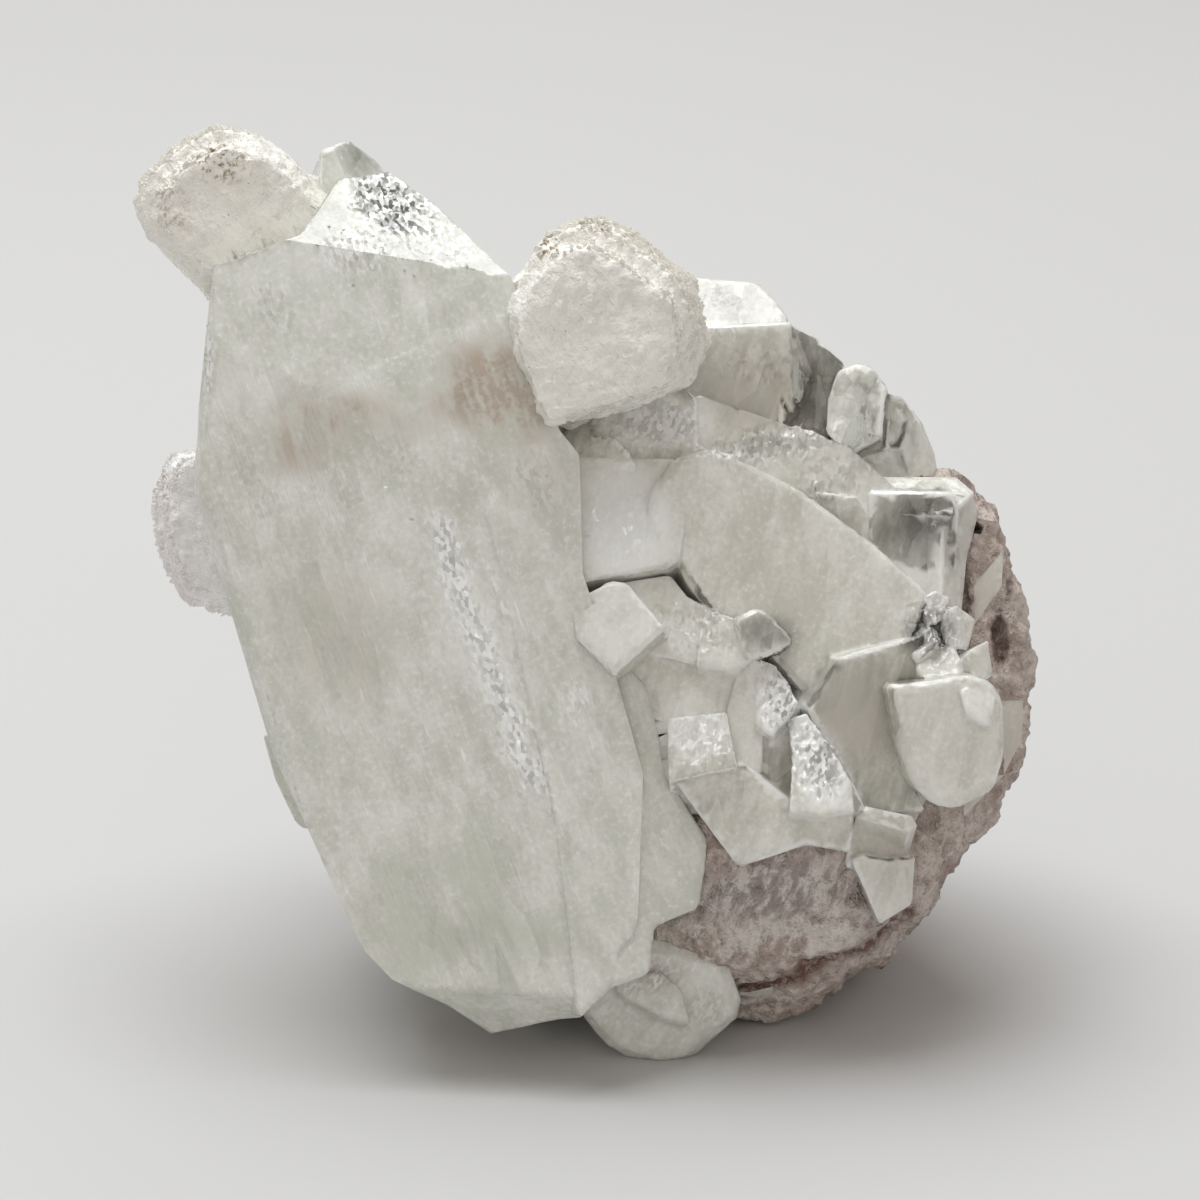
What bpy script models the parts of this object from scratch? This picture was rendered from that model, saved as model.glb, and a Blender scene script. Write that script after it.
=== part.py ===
"""Apophyllite cluster: a great blocky crystal, a stepped group of smaller ones, stilbite sheaves and matrix.

The specimen is modelled in millimetres in the plane of its show side: x runs to the right, z runs up
that plane and y runs back into the specimen. An empty leans all of it back to the way it rests, on the
flat broken underside of the matrix, and sets the middle of its base on the origin, in metres.
"""

import math
import random

import bmesh
import bpy
from mathutils import Matrix, Vector, noise
from mathutils.bvhtree import BVHTree

# Driving sizes, in millimetres and degrees
MM = 0.001
LEAN = 20.0
GAP = 0.35
EDGE_WEAR = 0.22
ROCK_GRAIN = 3.1
ROCK_RELIEF = 1.7
FLOOR_BLOCK = 200.0

# The great crystal. Each outline is the corners (right, up) of a face as the show side presents it.
GREAT_OUTLINE = [
    (-30.9, 64.0), (-23.8, 66.8), (-21.0, 71.5), (-16.8, 72.1), (-13.0, 69.3), (-7.1, 63.5), (-4.1, 57.8),
    (-3.2, 51.1), (-1.6, 49.1), (-1.3, 39.7), (0.5, 34.4), (3.4, 24.0), (3.0, 12.0), (-1.5, 4.5),
    (-3.4, 4.3), (-8.7, 3.0), (-12.1, 5.4), (-16.5, 7.6), (-18.6, 9.8), (-20.2, 12.9), (-23.0, 19.1),
    (-26.0, 25.3), (-30.6, 40.8), (-32.3, 46.3), (-32.0, 53.5),
]
GREAT_FRONT = 8.0
GREAT_DEPTH = 30.0

# The planes that cut the great crystal, all (right, back, up): a place on the plane and the way it looks
GREAT_PLANES = [
    ((-12.6, -6.4, 43.4), (-0.09, -1.0, -0.032)),
    ((-12.6, -6.4, 43.4), (0.04, -1.0, 0.014)),
    ((-22.2, -5.9, 54.3), (-0.03, -1.0, 0.127)),
    ((-23.8, -4.35, 66.1), (0.067, -1.0, 0.72)),
    ((-27.3, -4.7, 32.8), (-0.76, -0.60, -0.24)),
    ((-31.5, -4.9, 50.0), (-0.80, -0.60, 0.06)),
    ((-7.0, -5.7, 6.5), (-0.10, -0.62, -0.78)),
    ((-20.0, 7.0, 72.0), (-0.10, 0.66, 0.75)),
    ((-31.5, 8.0, 50.0), (-0.80, 0.60, 0.05)),
    ((-24.0, 9.0, 22.0), (-0.70, 0.60, -0.38)),
    ((-8.0, 3.0, 4.0), (-0.15, 0.55, -0.82)),
    ((-22.0, 21.0, 45.0), (-0.25, 0.96, 0.10)),
]
GREAT_FLANK = [
    (-6.7, 49.6), (-1.6, 49.1), (-1.3, 39.7), (0.5, 34.4), (4.0, 30.5), (5.4, 23.8), (8.6, 18.6),
    (8.5, 16.8), (7.9, 13.2), (4.4, 11.8), (4.0, 8.1), (1.0, 7.0), (-1.5, 4.7), (-3.4, 20.2),
    (-8.1, 41.2), (-9.1, 44.6),
]
BEHIND_TIP = [(-23.0, 74.6), (-20.5, 75.6), (-18.0, 73.7), (-14.5, 68.0), (-18.1, 62.0), (-23.2, 64.0)]
BEHIND_SLIVER = [(-27.8, 26.5), (-22.0, 27.0), (-20.0, 19.5), (-24.3, 18.8), (-25.0, 19.3), (-26.8, 22.9)]

# The stepped group on the right, front face by front face
STEPPED_GROUP = [
    dict(outline=[(4.4, 46.7), (6.0, 48.9), (9.1, 49.8), (11.5, 48.6), (15.5, 46.7), (21.3, 42.6),
                  (25.9, 38.6), (26.5, 37.4), (24.5, 32.8), (19.2, 26.2), (16.8, 29.7), (14.0, 32.8),
                  (11.0, 35.7), (8.8, 36.6), (7.2, 38.6), (6.2, 40.6), (4.8, 41.5), (3.8, 43.2),
                  (4.0, 45.8)],
         front=3.4, thick=17, yaw=10, pitch=5, edge=0.5),
    dict(outline=[(19.0, 33.0), (26.2, 35.0), (25.2, 30.4), (24.2, 26.4), (25.2, 22.6), (26.2, 20.6),
                  (20.9, 20.5), (18.4, 25.6), (16.4, 29.0)],
         front=2.3, thick=15, yaw=24, pitch=-8, edge=0.3),
    dict(outline=[(-2.0, 49.1), (6.0, 48.9), (7.1, 45.5), (6.3, 40.8), (5.3, 40.3), (-0.9, 39.2),
                  (-1.3, 39.7), (-1.4, 47.8)],
         front=4.0, thick=16, yaw=-2, pitch=18, edge=0.2),
    dict(outline=[(-3.0, 51.1), (-0.4, 52.3), (3.9, 54.0), (6.9, 54.7), (7.8, 53.7), (7.8, 50.2),
                  (8.9, 49.4), (6.1, 47.9), (1.9, 47.8), (-1.3, 48.4)],
         front=0.6, thick=15, yaw=2, pitch=26, edge=0.2),
    dict(outline=[(-2.8, 50.9), (1.3, 50.5), (2.8, 48.4), (-1.6, 48.4)],
         front=1.6, thick=9, yaw=-20, pitch=24, edge=0.15),
    dict(outline=[(7.8, 59.8), (15.6, 60.2), (15.8, 51.2), (14.1, 48.0), (8.1, 46.7), (3.3, 47.4),
                  (3.3, 59.4)],
         front=-7.4, thick=15, yaw=4, pitch=-4),
    dict(outline=[(1.3, 64.8), (7.0, 64.3), (12.9, 63.8), (14.1, 62.7), (15.4, 60.8), (15.0, 57.4),
                  (7.6, 56.6), (1.3, 56.8)],
         front=-10.0, thick=13, yaw=2, pitch=34),
    dict(outline=[(14.6, 60.6), (17.7, 59.1), (20.1, 57.0), (19.2, 52.0), (18.0, 49.0), (14.6, 49.0)],
         front=-8.8, thick=12, yaw=24, pitch=8),
    dict(outline=[(18.5, 53.9), (19.4, 56.4), (20.9, 57.0), (22.1, 56.7), (23.3, 55.0), (22.8, 50.6),
                  (20.0, 49.2), (18.4, 51.4)],
         front=-7.6, thick=11, yaw=-12, pitch=20),
    dict(outline=[(22.2, 54.9), (24.8, 54.1), (26.3, 52.0), (27.2, 49.9), (27.6, 48.1), (26.6, 46.0),
                  (24.8, 46.0), (21.2, 47.0), (20.1, 49.8)],
         front=-8.4, thick=13, yaw=14, pitch=4),
    dict(outline=[(25.6, 53.2), (26.4, 52.1), (27.5, 49.6), (27.8, 47.6), (25.6, 46.6), (24.4, 50.0)],
         front=-9.4, thick=10, yaw=46, pitch=4, edge=0.15),
    dict(outline=[(14.5, 48.6), (20.4, 49.6), (21.4, 48.0), (22.1, 45.6), (21.6, 41.7), (17.2, 42.2),
                  (14.7, 44.8)],
         front=-4.6, thick=12, yaw=-6, pitch=22),
    dict(outline=[(15.7, 46.8), (17.5, 48.0), (19.7, 48.4), (20.6, 47.2), (18.4, 45.0), (16.2, 45.0)],
         front=-3.2, thick=9, yaw=2, pitch=34, edge=0.15),
    dict(outline=[(17.3, 46.2), (20.7, 45.9), (21.7, 44.4), (21.6, 41.4), (19.0, 41.6)],
         front=-2.2, thick=9, yaw=6, pitch=-8, edge=0.15),
    dict(outline=[(21.6, 46.4), (28.4, 46.3), (29.0, 44.5), (28.7, 37.6), (26.6, 35.0), (23.6, 37.0),
                  (21.7, 41.0)],
         front=-3.4, thick=17, yaw=6, pitch=-6, edge=0.3),
    dict(outline=[(21.5, 46.6), (22.5, 47.7), (29.0, 47.7), (30.4, 46.4), (28.4, 44.6), (21.9, 44.6)],
         front=-5.0, thick=14, yaw=4, pitch=52, edge=0.2),
    dict(outline=[(27.8, 46.1), (30.3, 46.2), (30.8, 44.5), (29.8, 41.0), (29.2, 35.3), (27.3, 35.2)],
         front=-4.5, thick=13, yaw=42, pitch=3, edge=0.2),
    dict(outline=[(25.6, 37.6), (26.8, 38.4), (28.0, 37.8), (27.4, 35.9), (26.0, 35.4)],
         front=0.8, thick=9, yaw=22, pitch=14, edge=0.15),
    dict(outline=[(27.2, 36.5), (28.6, 37.2), (30.2, 36.0), (29.5, 33.6), (27.5, 33.8)],
         front=0.2, thick=9, yaw=28, pitch=8, edge=0.15),
    dict(outline=[(24.0, 36.2), (26.0, 36.6), (27.0, 34.2), (25.2, 32.6), (24.0, 34.0)],
         front=1.5, thick=9, yaw=-8, pitch=26, edge=0.15),
    dict(outline=[(25.0, 33.4), (26.8, 34.6), (28.4, 34.0), (29.1, 32.0), (27.2, 31.0), (25.4, 31.6)],
         front=1.7, thick=9, yaw=12, pitch=34, edge=0.15),
    dict(outline=[(28.5, 32.6), (29.7, 33.7), (31.2, 34.4), (31.5, 31.6), (30.0, 30.8)],
         front=0.6, thick=9, yaw=36, pitch=18, edge=0.15),
    dict(outline=[(22.7, 30.9), (24.8, 31.0), (29.4, 31.7), (31.1, 31.1), (32.0, 29.5), (32.1, 25.2),
                  (31.3, 22.5), (28.3, 21.0), (26.5, 21.3), (24.8, 22.9), (23.5, 26.5)],
         front=4.4, thick=15, yaw=8, pitch=-4, edge=0.4),
    dict(outline=[(28.5, 30.5), (29.7, 31.3), (31.4, 29.9), (31.0, 27.5), (29.1, 28.5)],
         front=4.9, thick=9, yaw=16, pitch=24, edge=0.15),
    dict(outline=[(20.2, 20.4), (21.0, 21.3), (24.8, 20.5), (25.2, 19.7), (24.5, 19.2)],
         front=3.8, thick=10, yaw=4, pitch=26, edge=0.12),
    dict(outline=[(19.6, 21.0), (25.4, 20.0), (24.2, 18.2), (25.3, 16.6), (22.4, 15.4), (19.6, 16.4)],
         front=1.8, thick=12, yaw=14, pitch=4),
    dict(outline=[(20.0, 16.9), (21.1, 17.3), (23.0, 16.9), (25.1, 17.2), (24.9, 13.3), (22.3, 11.7)],
         front=2.9, thick=12, yaw=12, pitch=-12, edge=0.2),
    dict(outline=[(5.8, 23.3), (10.7, 24.7), (12.2, 24.1), (14.9, 21.8), (19.8, 21.2), (20.0, 19.8),
                  (19.7, 17.6), (18.7, 17.8), (16.3, 18.2), (10.9, 16.4), (8.4, 19.8)],
         front=6.0, thick=15, yaw=-4, pitch=-8, edge=0.3),
    dict(outline=[(12.3, 33.0), (13.9, 32.5), (15.7, 29.5), (13.6, 26.9), (12.2, 27.5)],
         front=5.6, thick=11, yaw=-6, pitch=18, edge=0.15),
    dict(outline=[(14.9, 28.2), (16.3, 28.7), (18.2, 26.0), (19.8, 23.3), (20.0, 20.9), (17.7, 20.6),
                  (14.9, 20.9), (15.2, 25.2)],
         front=6.7, thick=12, yaw=2, pitch=18, edge=0.15),
    dict(outline=[(17.6, 26.6), (18.8, 25.8), (21.1, 21.1), (20.0, 20.5), (18.6, 22.4)],
         front=5.4, thick=11, yaw=40, pitch=4, edge=0.12),
    dict(outline=[(10.0, 28.8), (10.7, 31.5), (11.2, 33.4), (12.9, 32.8), (12.8, 24.1), (12.3, 23.2),
                  (10.3, 23.9)],
         front=4.9, thick=13, yaw=-10, pitch=4, edge=0.15),
    dict(outline=[(12.2, 28.3), (14.6, 29.4), (15.6, 28.2), (15.3, 20.6), (12.0, 22.7)],
         front=4.7, thick=13, yaw=10, pitch=0, edge=0.15),
    dict(outline=[(5.3, 28.3), (10.0, 28.8), (10.8, 24.4), (5.4, 23.3)],
         front=6.1, thick=13, yaw=-4, pitch=22, edge=0.15),
    dict(outline=[(2.0, 33.4), (5.1, 35.2), (11.6, 33.8), (11.4, 28.0), (10.0, 27.4), (5.3, 27.0),
                  (4.4, 29.5), (3.3, 30.5)],
         front=4.2, thick=12, yaw=2, pitch=2, edge=0.2),
    dict(outline=[(-2.6, 36.9), (0.7, 39.2), (2.1, 39.0), (5.1, 35.4), (1.0, 31.7), (-2.1, 34.8)],
         front=6.8, thick=12, yaw=-8, pitch=14, edge=0.3),
    dict(outline=[(1.7, 39.0), (5.6, 39.6), (7.0, 37.8), (9.2, 36.8), (8.8, 32.8), (7.4, 32.5),
                  (4.8, 33.2), (3.0, 33.2), (2.6, 35.1)],
         front=4.6, thick=12, yaw=4, pitch=10, edge=0.2),
    dict(outline=[(8.2, 37.0), (11.6, 35.9), (12.1, 33.0), (10.8, 32.0), (7.6, 32.4)],
         front=5.3, thick=10, yaw=0, pitch=20, edge=0.15),
    dict(outline=[(10.9, 36.3), (12.5, 37.1), (13.7, 36.3), (15.5, 34.5), (15.1, 33.8), (12.5, 32.9),
                  (11.6, 33.2)],
         front=6.2, thick=11, yaw=14, pitch=8, edge=0.4),
]
GROUP_HEART = dict(
    outline=[(-2.0, 50.0), (8.0, 54.0), (20.0, 50.0), (29.0, 42.0), (29.6, 28.0), (24.0, 17.0),
             (16.0, 18.4), (8.0, 20.0), (0.0, 32.0)],
    front=-2.0, thick=15, yaw=8, pitch=0, edge=0.0)

# The worn crystal under the great one, on which the front of the specimen stands
FOOT = [
    dict(outline=[(-1.8, 4.9), (-0.7, 3.0), (1.2, 1.0), (4.7, -0.2), (7.2, 0.3), (9.4, 2.3), (11.6, 4.4),
                  (10.0, 9.0), (3.2, 10.5), (-1.0, 9.0)],
         front=-0.4, thick=15, yaw=2, pitch=-16, edge=0.9),
    dict(outline=[(1.2, 7.0), (4.7, 8.1), (6.4, 6.6), (7.3, 3.8), (5.0, 4.4), (2.0, 6.0)],
         front=1.6, thick=8, yaw=10, pitch=12, edge=0.2),
]

# The small blocky crystals that coat the far side of the matrix
DRUSE_MIDDLE = Vector((5.0, 17.0, 31.0))
DRUSE_COUNT = 18
DRUSE_HALF = (1.5, 4.4)
DRUSE_SUNK = 0.25
CORNER_CUT = 0.28

# The matrix: the broken face under the group, the rim round its right side and the body behind
ROCK_LUMPS = [
    dict(outline=[(-19.0, 49.0), (-6.0, 56.0), (8.0, 58.0), (19.0, 53.5), (28.5, 48.0), (33.4, 44.3),
                  (34.1, 40.9), (34.7, 37.7), (34.9, 33.9), (34.6, 30.6), (35.1, 26.0), (34.3, 23.4),
                  (30.0, 16.7), (27.6, 13.6), (24.8, 9.6), (20.2, 5.8), (12.9, 2.6), (4.0, 3.0),
                  (-6.0, 9.0), (-13.0, 17.0), (-19.0, 30.0)],
         front=-7.5, thick=24, yaw=0, pitch=0, flare=-0.10, edge=0.0),
    dict(outline=[(3.6, 8.0), (7.0, 17.0), (9.0, 20.4), (20.6, 20.4), (24.0, 11.4), (21.6, 8.4),
                  (15.0, 6.2), (8.4, 4.6)],
         front=1.4, thick=16, yaw=6, pitch=-20, edge=0.0),
    dict(outline=[(22.5, 11.6), (24.0, 20.0), (31.0, 33.0), (30.4, 46.4), (33.6, 44.2), (34.6, 38.0),
                  (34.8, 31.0), (34.6, 24.4), (29.4, 16.2), (25.6, 11.0)],
         front=-4.6, thick=16, yaw=20, pitch=0, edge=0.0),
    dict(outline=[(-10.0, 48.0), (6.0, 52.0), (21.0, 46.0), (25.0, 30.0), (12.0, 16.0), (-8.0, 22.0)],
         front=-28.0, thick=9, yaw=-6, pitch=8, flare=-0.3, edge=0.0),
]
# Where the rock broke: a place on each fracture and the way it looks
FRACTURES = [
    ((25.0, 21.0, 46.0), (0.50, 0.66, 0.56)),
    ((29.0, 20.0, 24.0), (0.80, 0.55, -0.22)),
    ((8.0, 29.0, 52.0), (-0.10, 0.80, 0.59)),
    ((18.0, 33.0, 24.0), (0.30, 0.93, -0.20)),
    ((-14.0, 27.0, 36.0), (-0.72, 0.68, 0.12)),
    ((4.0, 20.0, 56.0), (0.10, 0.42, 0.90)),
    ((-6.0, 31.0, 18.0), (-0.50, 0.80, -0.33)),
]
ROCK_SEED = Vector((3.1, 7.7, 1.3))

# Stilbite sheaves: stacks of thin plates that share one outline and open out from where they are tied
SHEAF_CROWN = dict(
    outline=[(-37.3, 69.6), (-36.5, 71.6), (-33.8, 74.3), (-30.0, 76.0), (-27.4, 75.3), (-24.6, 73.1),
             (-21.9, 70.4), (-21.5, 66.8), (-23.5, 61.5), (-30.5, 60.5), (-33.1, 63.9), (-36.3, 67.4)],
    root=(-22.0, 60.0), front=1.2, thick=12.5, plates=7, spread=12.0)
SHEAF_FRONT = dict(
    outline=[(-4.4, 51.0), (-7.1, 57.0), (-7.5, 61.3), (-4.4, 66.7), (-0.6, 68.1), (2.6, 66.4),
             (7.1, 63.3), (8.4, 58.4), (7.0, 54.9), (3.4, 53.2)],
    root=(-5.0, 50.0), front=9.6, thick=15.0, plates=8, spread=6.0)
SHEAF_BACK = dict(
    outline=[(-26.0, 50.0), (-31.0, 51.0), (-35.8, 49.7), (-37.2, 45.8), (-36.3, 40.7), (-34.3, 37.4),
             (-31.0, 36.4), (-26.0, 36.0)],
    root=(-24.0, 43.0), front=-13.0, thick=11.0, plates=6, spread=12.0)
DOME = 0.3

SHEAVES = {
    "stilbite_crown": (SHEAF_CROWN, 5, "stilbite"),
    "stilbite_front": (SHEAF_FRONT, 9, "stilbite"),
    "stilbite_back": (SHEAF_BACK, 4, "pale_stilbite"),
}

FINISHES = {
    "great_crystal": ((0.74, 0.78, 0.73, 1.0), 0.18),
    "stepped_crystals": ((0.78, 0.80, 0.76, 1.0), 0.12),
    "matrix": ((0.58, 0.50, 0.45, 1.0), 0.60),
    "stilbite": ((0.84, 0.82, 0.74, 1.0), 0.38),
    "pale_stilbite": ((0.86, 0.80, 0.78, 1.0), 0.38),
}


def clear_scene():
    for obj in list(bpy.data.objects):
        bpy.data.objects.remove(obj)


def new_collection(name):
    made = bpy.data.collections.new(name)
    bpy.context.scene.collection.children.link(made)
    return made


def material(name):
    """A Principled finish with the piece's colour and roughness; nothing here is metallic."""
    made = bpy.data.materials.new(name)
    made.use_nodes = True
    shader = made.node_tree.nodes["Principled BSDF"]
    colour, roughness = FINISHES[name]
    shader.inputs["Base Color"].default_value = colour
    shader.inputs["Roughness"].default_value = roughness
    shader.inputs["Metallic"].default_value = 0.0
    made.diffuse_color = colour
    return made


def object_from(bm, name, collection):
    """Turns a bmesh in millimetres into an object in metres."""
    bmesh.ops.recalc_face_normals(bm, faces=bm.faces)
    bm.transform(Matrix.Scale(MM, 4))
    mesh = bpy.data.meshes.new(name)
    bm.to_mesh(mesh)
    bm.free()
    made = bpy.data.objects.new(name, mesh)
    collection.objects.link(made)
    return made


def outset(outline, amount):
    """The convex or nearly convex outline with every side moved out by amount."""
    points = [Vector(p) for p in outline]
    area = sum(a.cross(b) for a, b in zip(points, points[1:] + points[:1]))
    side = -1.0 if area > 0 else 1.0
    moved = []
    for i, point in enumerate(points):
        before = (point - points[i - 1]).normalized()
        after = (points[(i + 1) % len(points)] - point).normalized()
        out = (Vector((-before.y, before.x)) + Vector((-after.y, after.x))) * side
        moved.append(point + out * (amount / max(0.35, 0.5 * out.length_squared)))
    return moved


def prism(outline, front, thick, yaw=0.0, pitch=0.0, flare=0.0, edge=EDGE_WEAR, grow=0.0):
    """A crystal or a rock lump, drawn by its front face and carried straight back from it.

    front is how far forward the face stands. yaw turns it to face right and pitch to face up, in
    degrees. flare widens the back and edge is the wear on its corners. grow moves every side out.
    """
    corners = outset(outline, grow)
    middle = sum(corners, Vector((0.0, 0.0))) / len(corners)
    slope = Vector((math.tan(math.radians(yaw)), math.tan(math.radians(pitch))))
    normal = Vector((slope.x, -1.0, slope.y)).normalized()
    bm = bmesh.new()
    ring = [bm.verts.new((p.x, slope.dot(p - middle) - front, p.y)) for p in corners]
    made = bmesh.ops.extrude_face_region(bm, geom=[bm.faces.new(ring)])
    back = [v for v in made["geom"] if isinstance(v, bmesh.types.BMVert)]
    bmesh.ops.translate(bm, verts=back, vec=-normal * (thick + grow))
    bmesh.ops.translate(bm, verts=ring, vec=normal * grow)
    hub = sum((v.co for v in back), Vector()) / len(back)
    bmesh.ops.scale(bm, verts=back, vec=(1.0 + flare,) * 3, space=Matrix.Translation(-hub))
    if edge > 0.0:
        bmesh.ops.bevel(bm, geom=list(bm.edges), offset=edge, segments=1, affect="EDGES", clamp_overlap=True)
        bmesh.ops.remove_doubles(bm, verts=bm.verts, dist=0.01)
    return bm


def pseudo_cube(middle, half, turn):
    """A small blocky crystal, nearly a cube, whose corners are cut off by pyramid faces."""
    bm = bmesh.new()
    bmesh.ops.create_cube(bm, size=2.0)
    bmesh.ops.scale(bm, verts=bm.verts, vec=half)
    cut = CORNER_CUT * 2.0 * min(half)
    bmesh.ops.bevel(bm, geom=list(bm.verts), offset=cut, segments=1, affect="VERTICES", clamp_overlap=True)
    for axis, angle in zip("XYZ", turn):
        bmesh.ops.rotate(bm, verts=bm.verts, matrix=Matrix.Rotation(math.radians(angle), 3, axis))
    bmesh.ops.translate(bm, verts=bm.verts, vec=middle)
    return bm


def cut_plane(bm, place, looks, grow=0.0):
    """Cuts a solid flat at a plane, drops what is outside it and closes the cut."""
    normal = Vector(looks).normalized()
    geometry = list(bm.verts) + list(bm.edges) + list(bm.faces)
    done = bmesh.ops.bisect_plane(
        bm, geom=geometry, dist=1e-5, plane_co=Vector(place) + normal * grow, plane_no=normal,
        clear_outer=True)
    rim = [e for e in done["geom_cut"] if isinstance(e, bmesh.types.BMEdge)]
    bmesh.ops.holes_fill(bm, edges=rim, sides=0)


def great_crystal(grow=0.0):
    """The great crystal: its body, the flank grown along it and the two crystals that show behind it."""
    body = prism(GREAT_OUTLINE, GREAT_FRONT, GREAT_DEPTH, edge=0.0, grow=grow)
    for place, looks in GREAT_PLANES:
        cut_plane(body, place, looks, grow)
    return [
        body,
        prism(GREAT_FLANK, 5.3, 20.0, 15.0, 4.0, edge=0.3, grow=grow),
        prism(BEHIND_TIP, -9.0, 9.0, 10.0, 14.0, edge=0.3, grow=grow),
        prism(BEHIND_SLIVER, -11.0, 6.0, -14.0, 0.0, edge=0.2, grow=grow),
    ]


def stepped_crystals(grow=0.0):
    """The group on the right and the heart that its crystals grow from."""
    return [prism(**block, grow=grow) for block in [GROUP_HEART] + STEPPED_GROUP]


def foot_crystal(grow=0.0):
    return [prism(**block, grow=grow) for block in FOOT]


def matrix_lumps():
    return [prism(**lump) for lump in ROCK_LUMPS]


def druse(rock):
    """Blocky crystals set on the far side of the rock, thickest towards the top of it."""
    chance = random.Random(21)
    surface = bmesh.new()
    surface.from_mesh(rock.data)
    tree = BVHTree.FromBMesh(surface)
    surface.free()
    made = []
    for k in range(DRUSE_COUNT):
        share = (k + 0.5) / DRUSE_COUNT
        across = math.radians(-78.0 + (k * 97.0) % 156.0 + chance.uniform(-8.0, 8.0))
        height = math.radians(62.0 - 95.0 * share)
        level = math.cos(height)
        away = Vector((math.sin(across) * level, math.cos(across) * level, math.sin(height)))
        place = tree.ray_cast((DRUSE_MIDDLE + away * 60.0) * MM, -away)[0] / MM
        size = chance.uniform(*DRUSE_HALF) * (1.0 - 0.45 * share)
        half = [size * chance.uniform(0.85, 1.15) for _ in range(3)]
        turn = [chance.uniform(-45.0, 45.0) for _ in range(3)]
        block = pseudo_cube(place - away * size * DRUSE_SUNK, half, turn)
        made.append(object_from(block, "druse", rock.users_collection[0]))
    return made


def sheaf_plates(outline, root, front, thick, plates, spread, seed):
    """A stilbite sheaf: plates of one outline, tilted apart towards the free end, smaller on the outside."""
    chance = random.Random(seed)
    middle = sum((Vector(p) for p in outline), Vector((0.0, 0.0))) / len(outline)
    outward = (middle - Vector(root)).normalized()
    hinge = middle.lerp(Vector(root), 0.6)
    step = thick / plates
    made = []
    for k in range(plates):
        off_centre = (k + 0.5) / plates * 2.0 - 1.0
        size = 1.0 - DOME * off_centre**4 + chance.uniform(-0.02, 0.02)
        turn = Matrix.Rotation(math.radians(chance.uniform(-3, 3)), 2)
        shape = [hinge + (turn @ (Vector(p) - hinge)) * size for p in outline]
        tilt = outward * spread * off_centre
        made.append(prism(shape, front - k * step, step * 1.3, tilt.x, tilt.y, edge=0.0))
    return made


def keep_largest(mesh):
    """Drops the crumbs that a cut leaves, so that a piece stays one body."""
    bm = bmesh.new()
    bm.from_mesh(mesh)
    left = set(bm.verts)
    islands = []
    while left:
        island, edge_of = set(), [left.pop()]
        while edge_of:
            vert = edge_of.pop()
            island.add(vert)
            near = {e.other_vert(vert) for e in vert.link_edges} & left
            left -= near
            edge_of.extend(near)
        islands.append(island)
    islands.sort(key=len)
    for island in islands[:-1]:
        bmesh.ops.delete(bm, geom=list(island), context="VERTS")
    bm.to_mesh(mesh)
    bm.free()


def apply_booleans(target, others, operation):
    """Joins the others to the target or cuts them from it, one by one, and removes them."""
    for other in others:
        modifier = target.modifiers.new(operation.lower(), "BOOLEAN")
        modifier.operation = operation
        modifier.solver = "EXACT"
        modifier.object = other
        bpy.context.view_layer.update()
        graph = bpy.context.evaluated_depsgraph_get()
        result = bpy.data.meshes.new_from_object(target.evaluated_get(graph))
        target.modifiers.clear()
        target.data = result
        bpy.data.objects.remove(other)
    return target


def joined(parts, name, collection):
    objects = [object_from(bm, f"{name}.part", collection) for bm in parts]
    return apply_booleans(objects[0], objects[1:], "UNION")


def floor_cutter(helpers):
    """Everything below the surface that the specimen stands on, in the leaning plane's own frame."""
    bm = bmesh.new()
    bmesh.ops.create_cube(bm, size=FLOOR_BLOCK)
    bmesh.ops.translate(bm, verts=bm.verts, vec=(0.0, 0.0, -FLOOR_BLOCK / 2))
    bmesh.ops.rotate(bm, verts=bm.verts, matrix=Matrix.Rotation(math.radians(LEAN), 3, "X"))
    return object_from(bm, "floor_cutter", helpers)


def fracture(obj):
    """Breaks the rock away along its fractures."""
    bm = bmesh.new()
    bm.from_mesh(obj.data)
    bm.transform(Matrix.Scale(1.0 / MM, 4))
    for place, looks in FRACTURES:
        cut_plane(bm, place, looks)
    bm.transform(Matrix.Scale(MM, 4))
    bm.to_mesh(obj.data)
    bm.free()


def roughen(obj):
    """Gives the rock an even grain and a broken, lumpy surface."""
    remesh = obj.modifiers.new("grain", "REMESH")
    remesh.mode = "VOXEL"
    remesh.voxel_size = ROCK_GRAIN * MM
    graph = bpy.context.evaluated_depsgraph_get()
    obj.data = bpy.data.meshes.new_from_object(obj.evaluated_get(graph))
    obj.modifiers.clear()
    normals = [v.normal.copy() for v in obj.data.vertices]
    for vert, normal in zip(obj.data.vertices, normals):
        place = vert.co / MM
        coarse = noise.noise(place * 0.13 + ROCK_SEED)
        ledges = noise.cell(place * 0.22 + ROCK_SEED)
        fine = noise.noise(place * 0.5 + ROCK_SEED)
        vert.co += normal * ROCK_RELIEF * (0.5 * coarse + 0.3 * ledges + 0.4 * fine) * MM


def finish(obj, name, slot, parts):
    obj.name = name
    obj.data.name = name
    keep_largest(obj.data)
    obj.data.materials.clear()
    obj.data.materials.append(bpy.data.materials.get(slot) or material(slot))
    for holder in list(obj.users_collection):
        holder.objects.unlink(obj)
    parts.objects.link(obj)
    return obj


def stand(nodes):
    """Leans the specimen back to the way it rests and puts the middle of its base on the origin."""
    rest = bpy.data.objects.new("rest", None)
    bpy.context.scene.collection.objects.link(rest)
    rest.rotation_euler.x = -math.radians(LEAN)
    turn = rest.rotation_euler.to_matrix()
    points = [turn @ v.co for node in nodes for v in node.data.vertices]
    low = Vector([min(p[i] for p in points) for i in range(3)])
    high = Vector([max(p[i] for p in points) for i in range(3)])
    rest.location = (-(low.x + high.x) / 2, -(low.y + high.y) / 2, -low.z)
    for node in nodes:
        node.parent = rest


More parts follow.
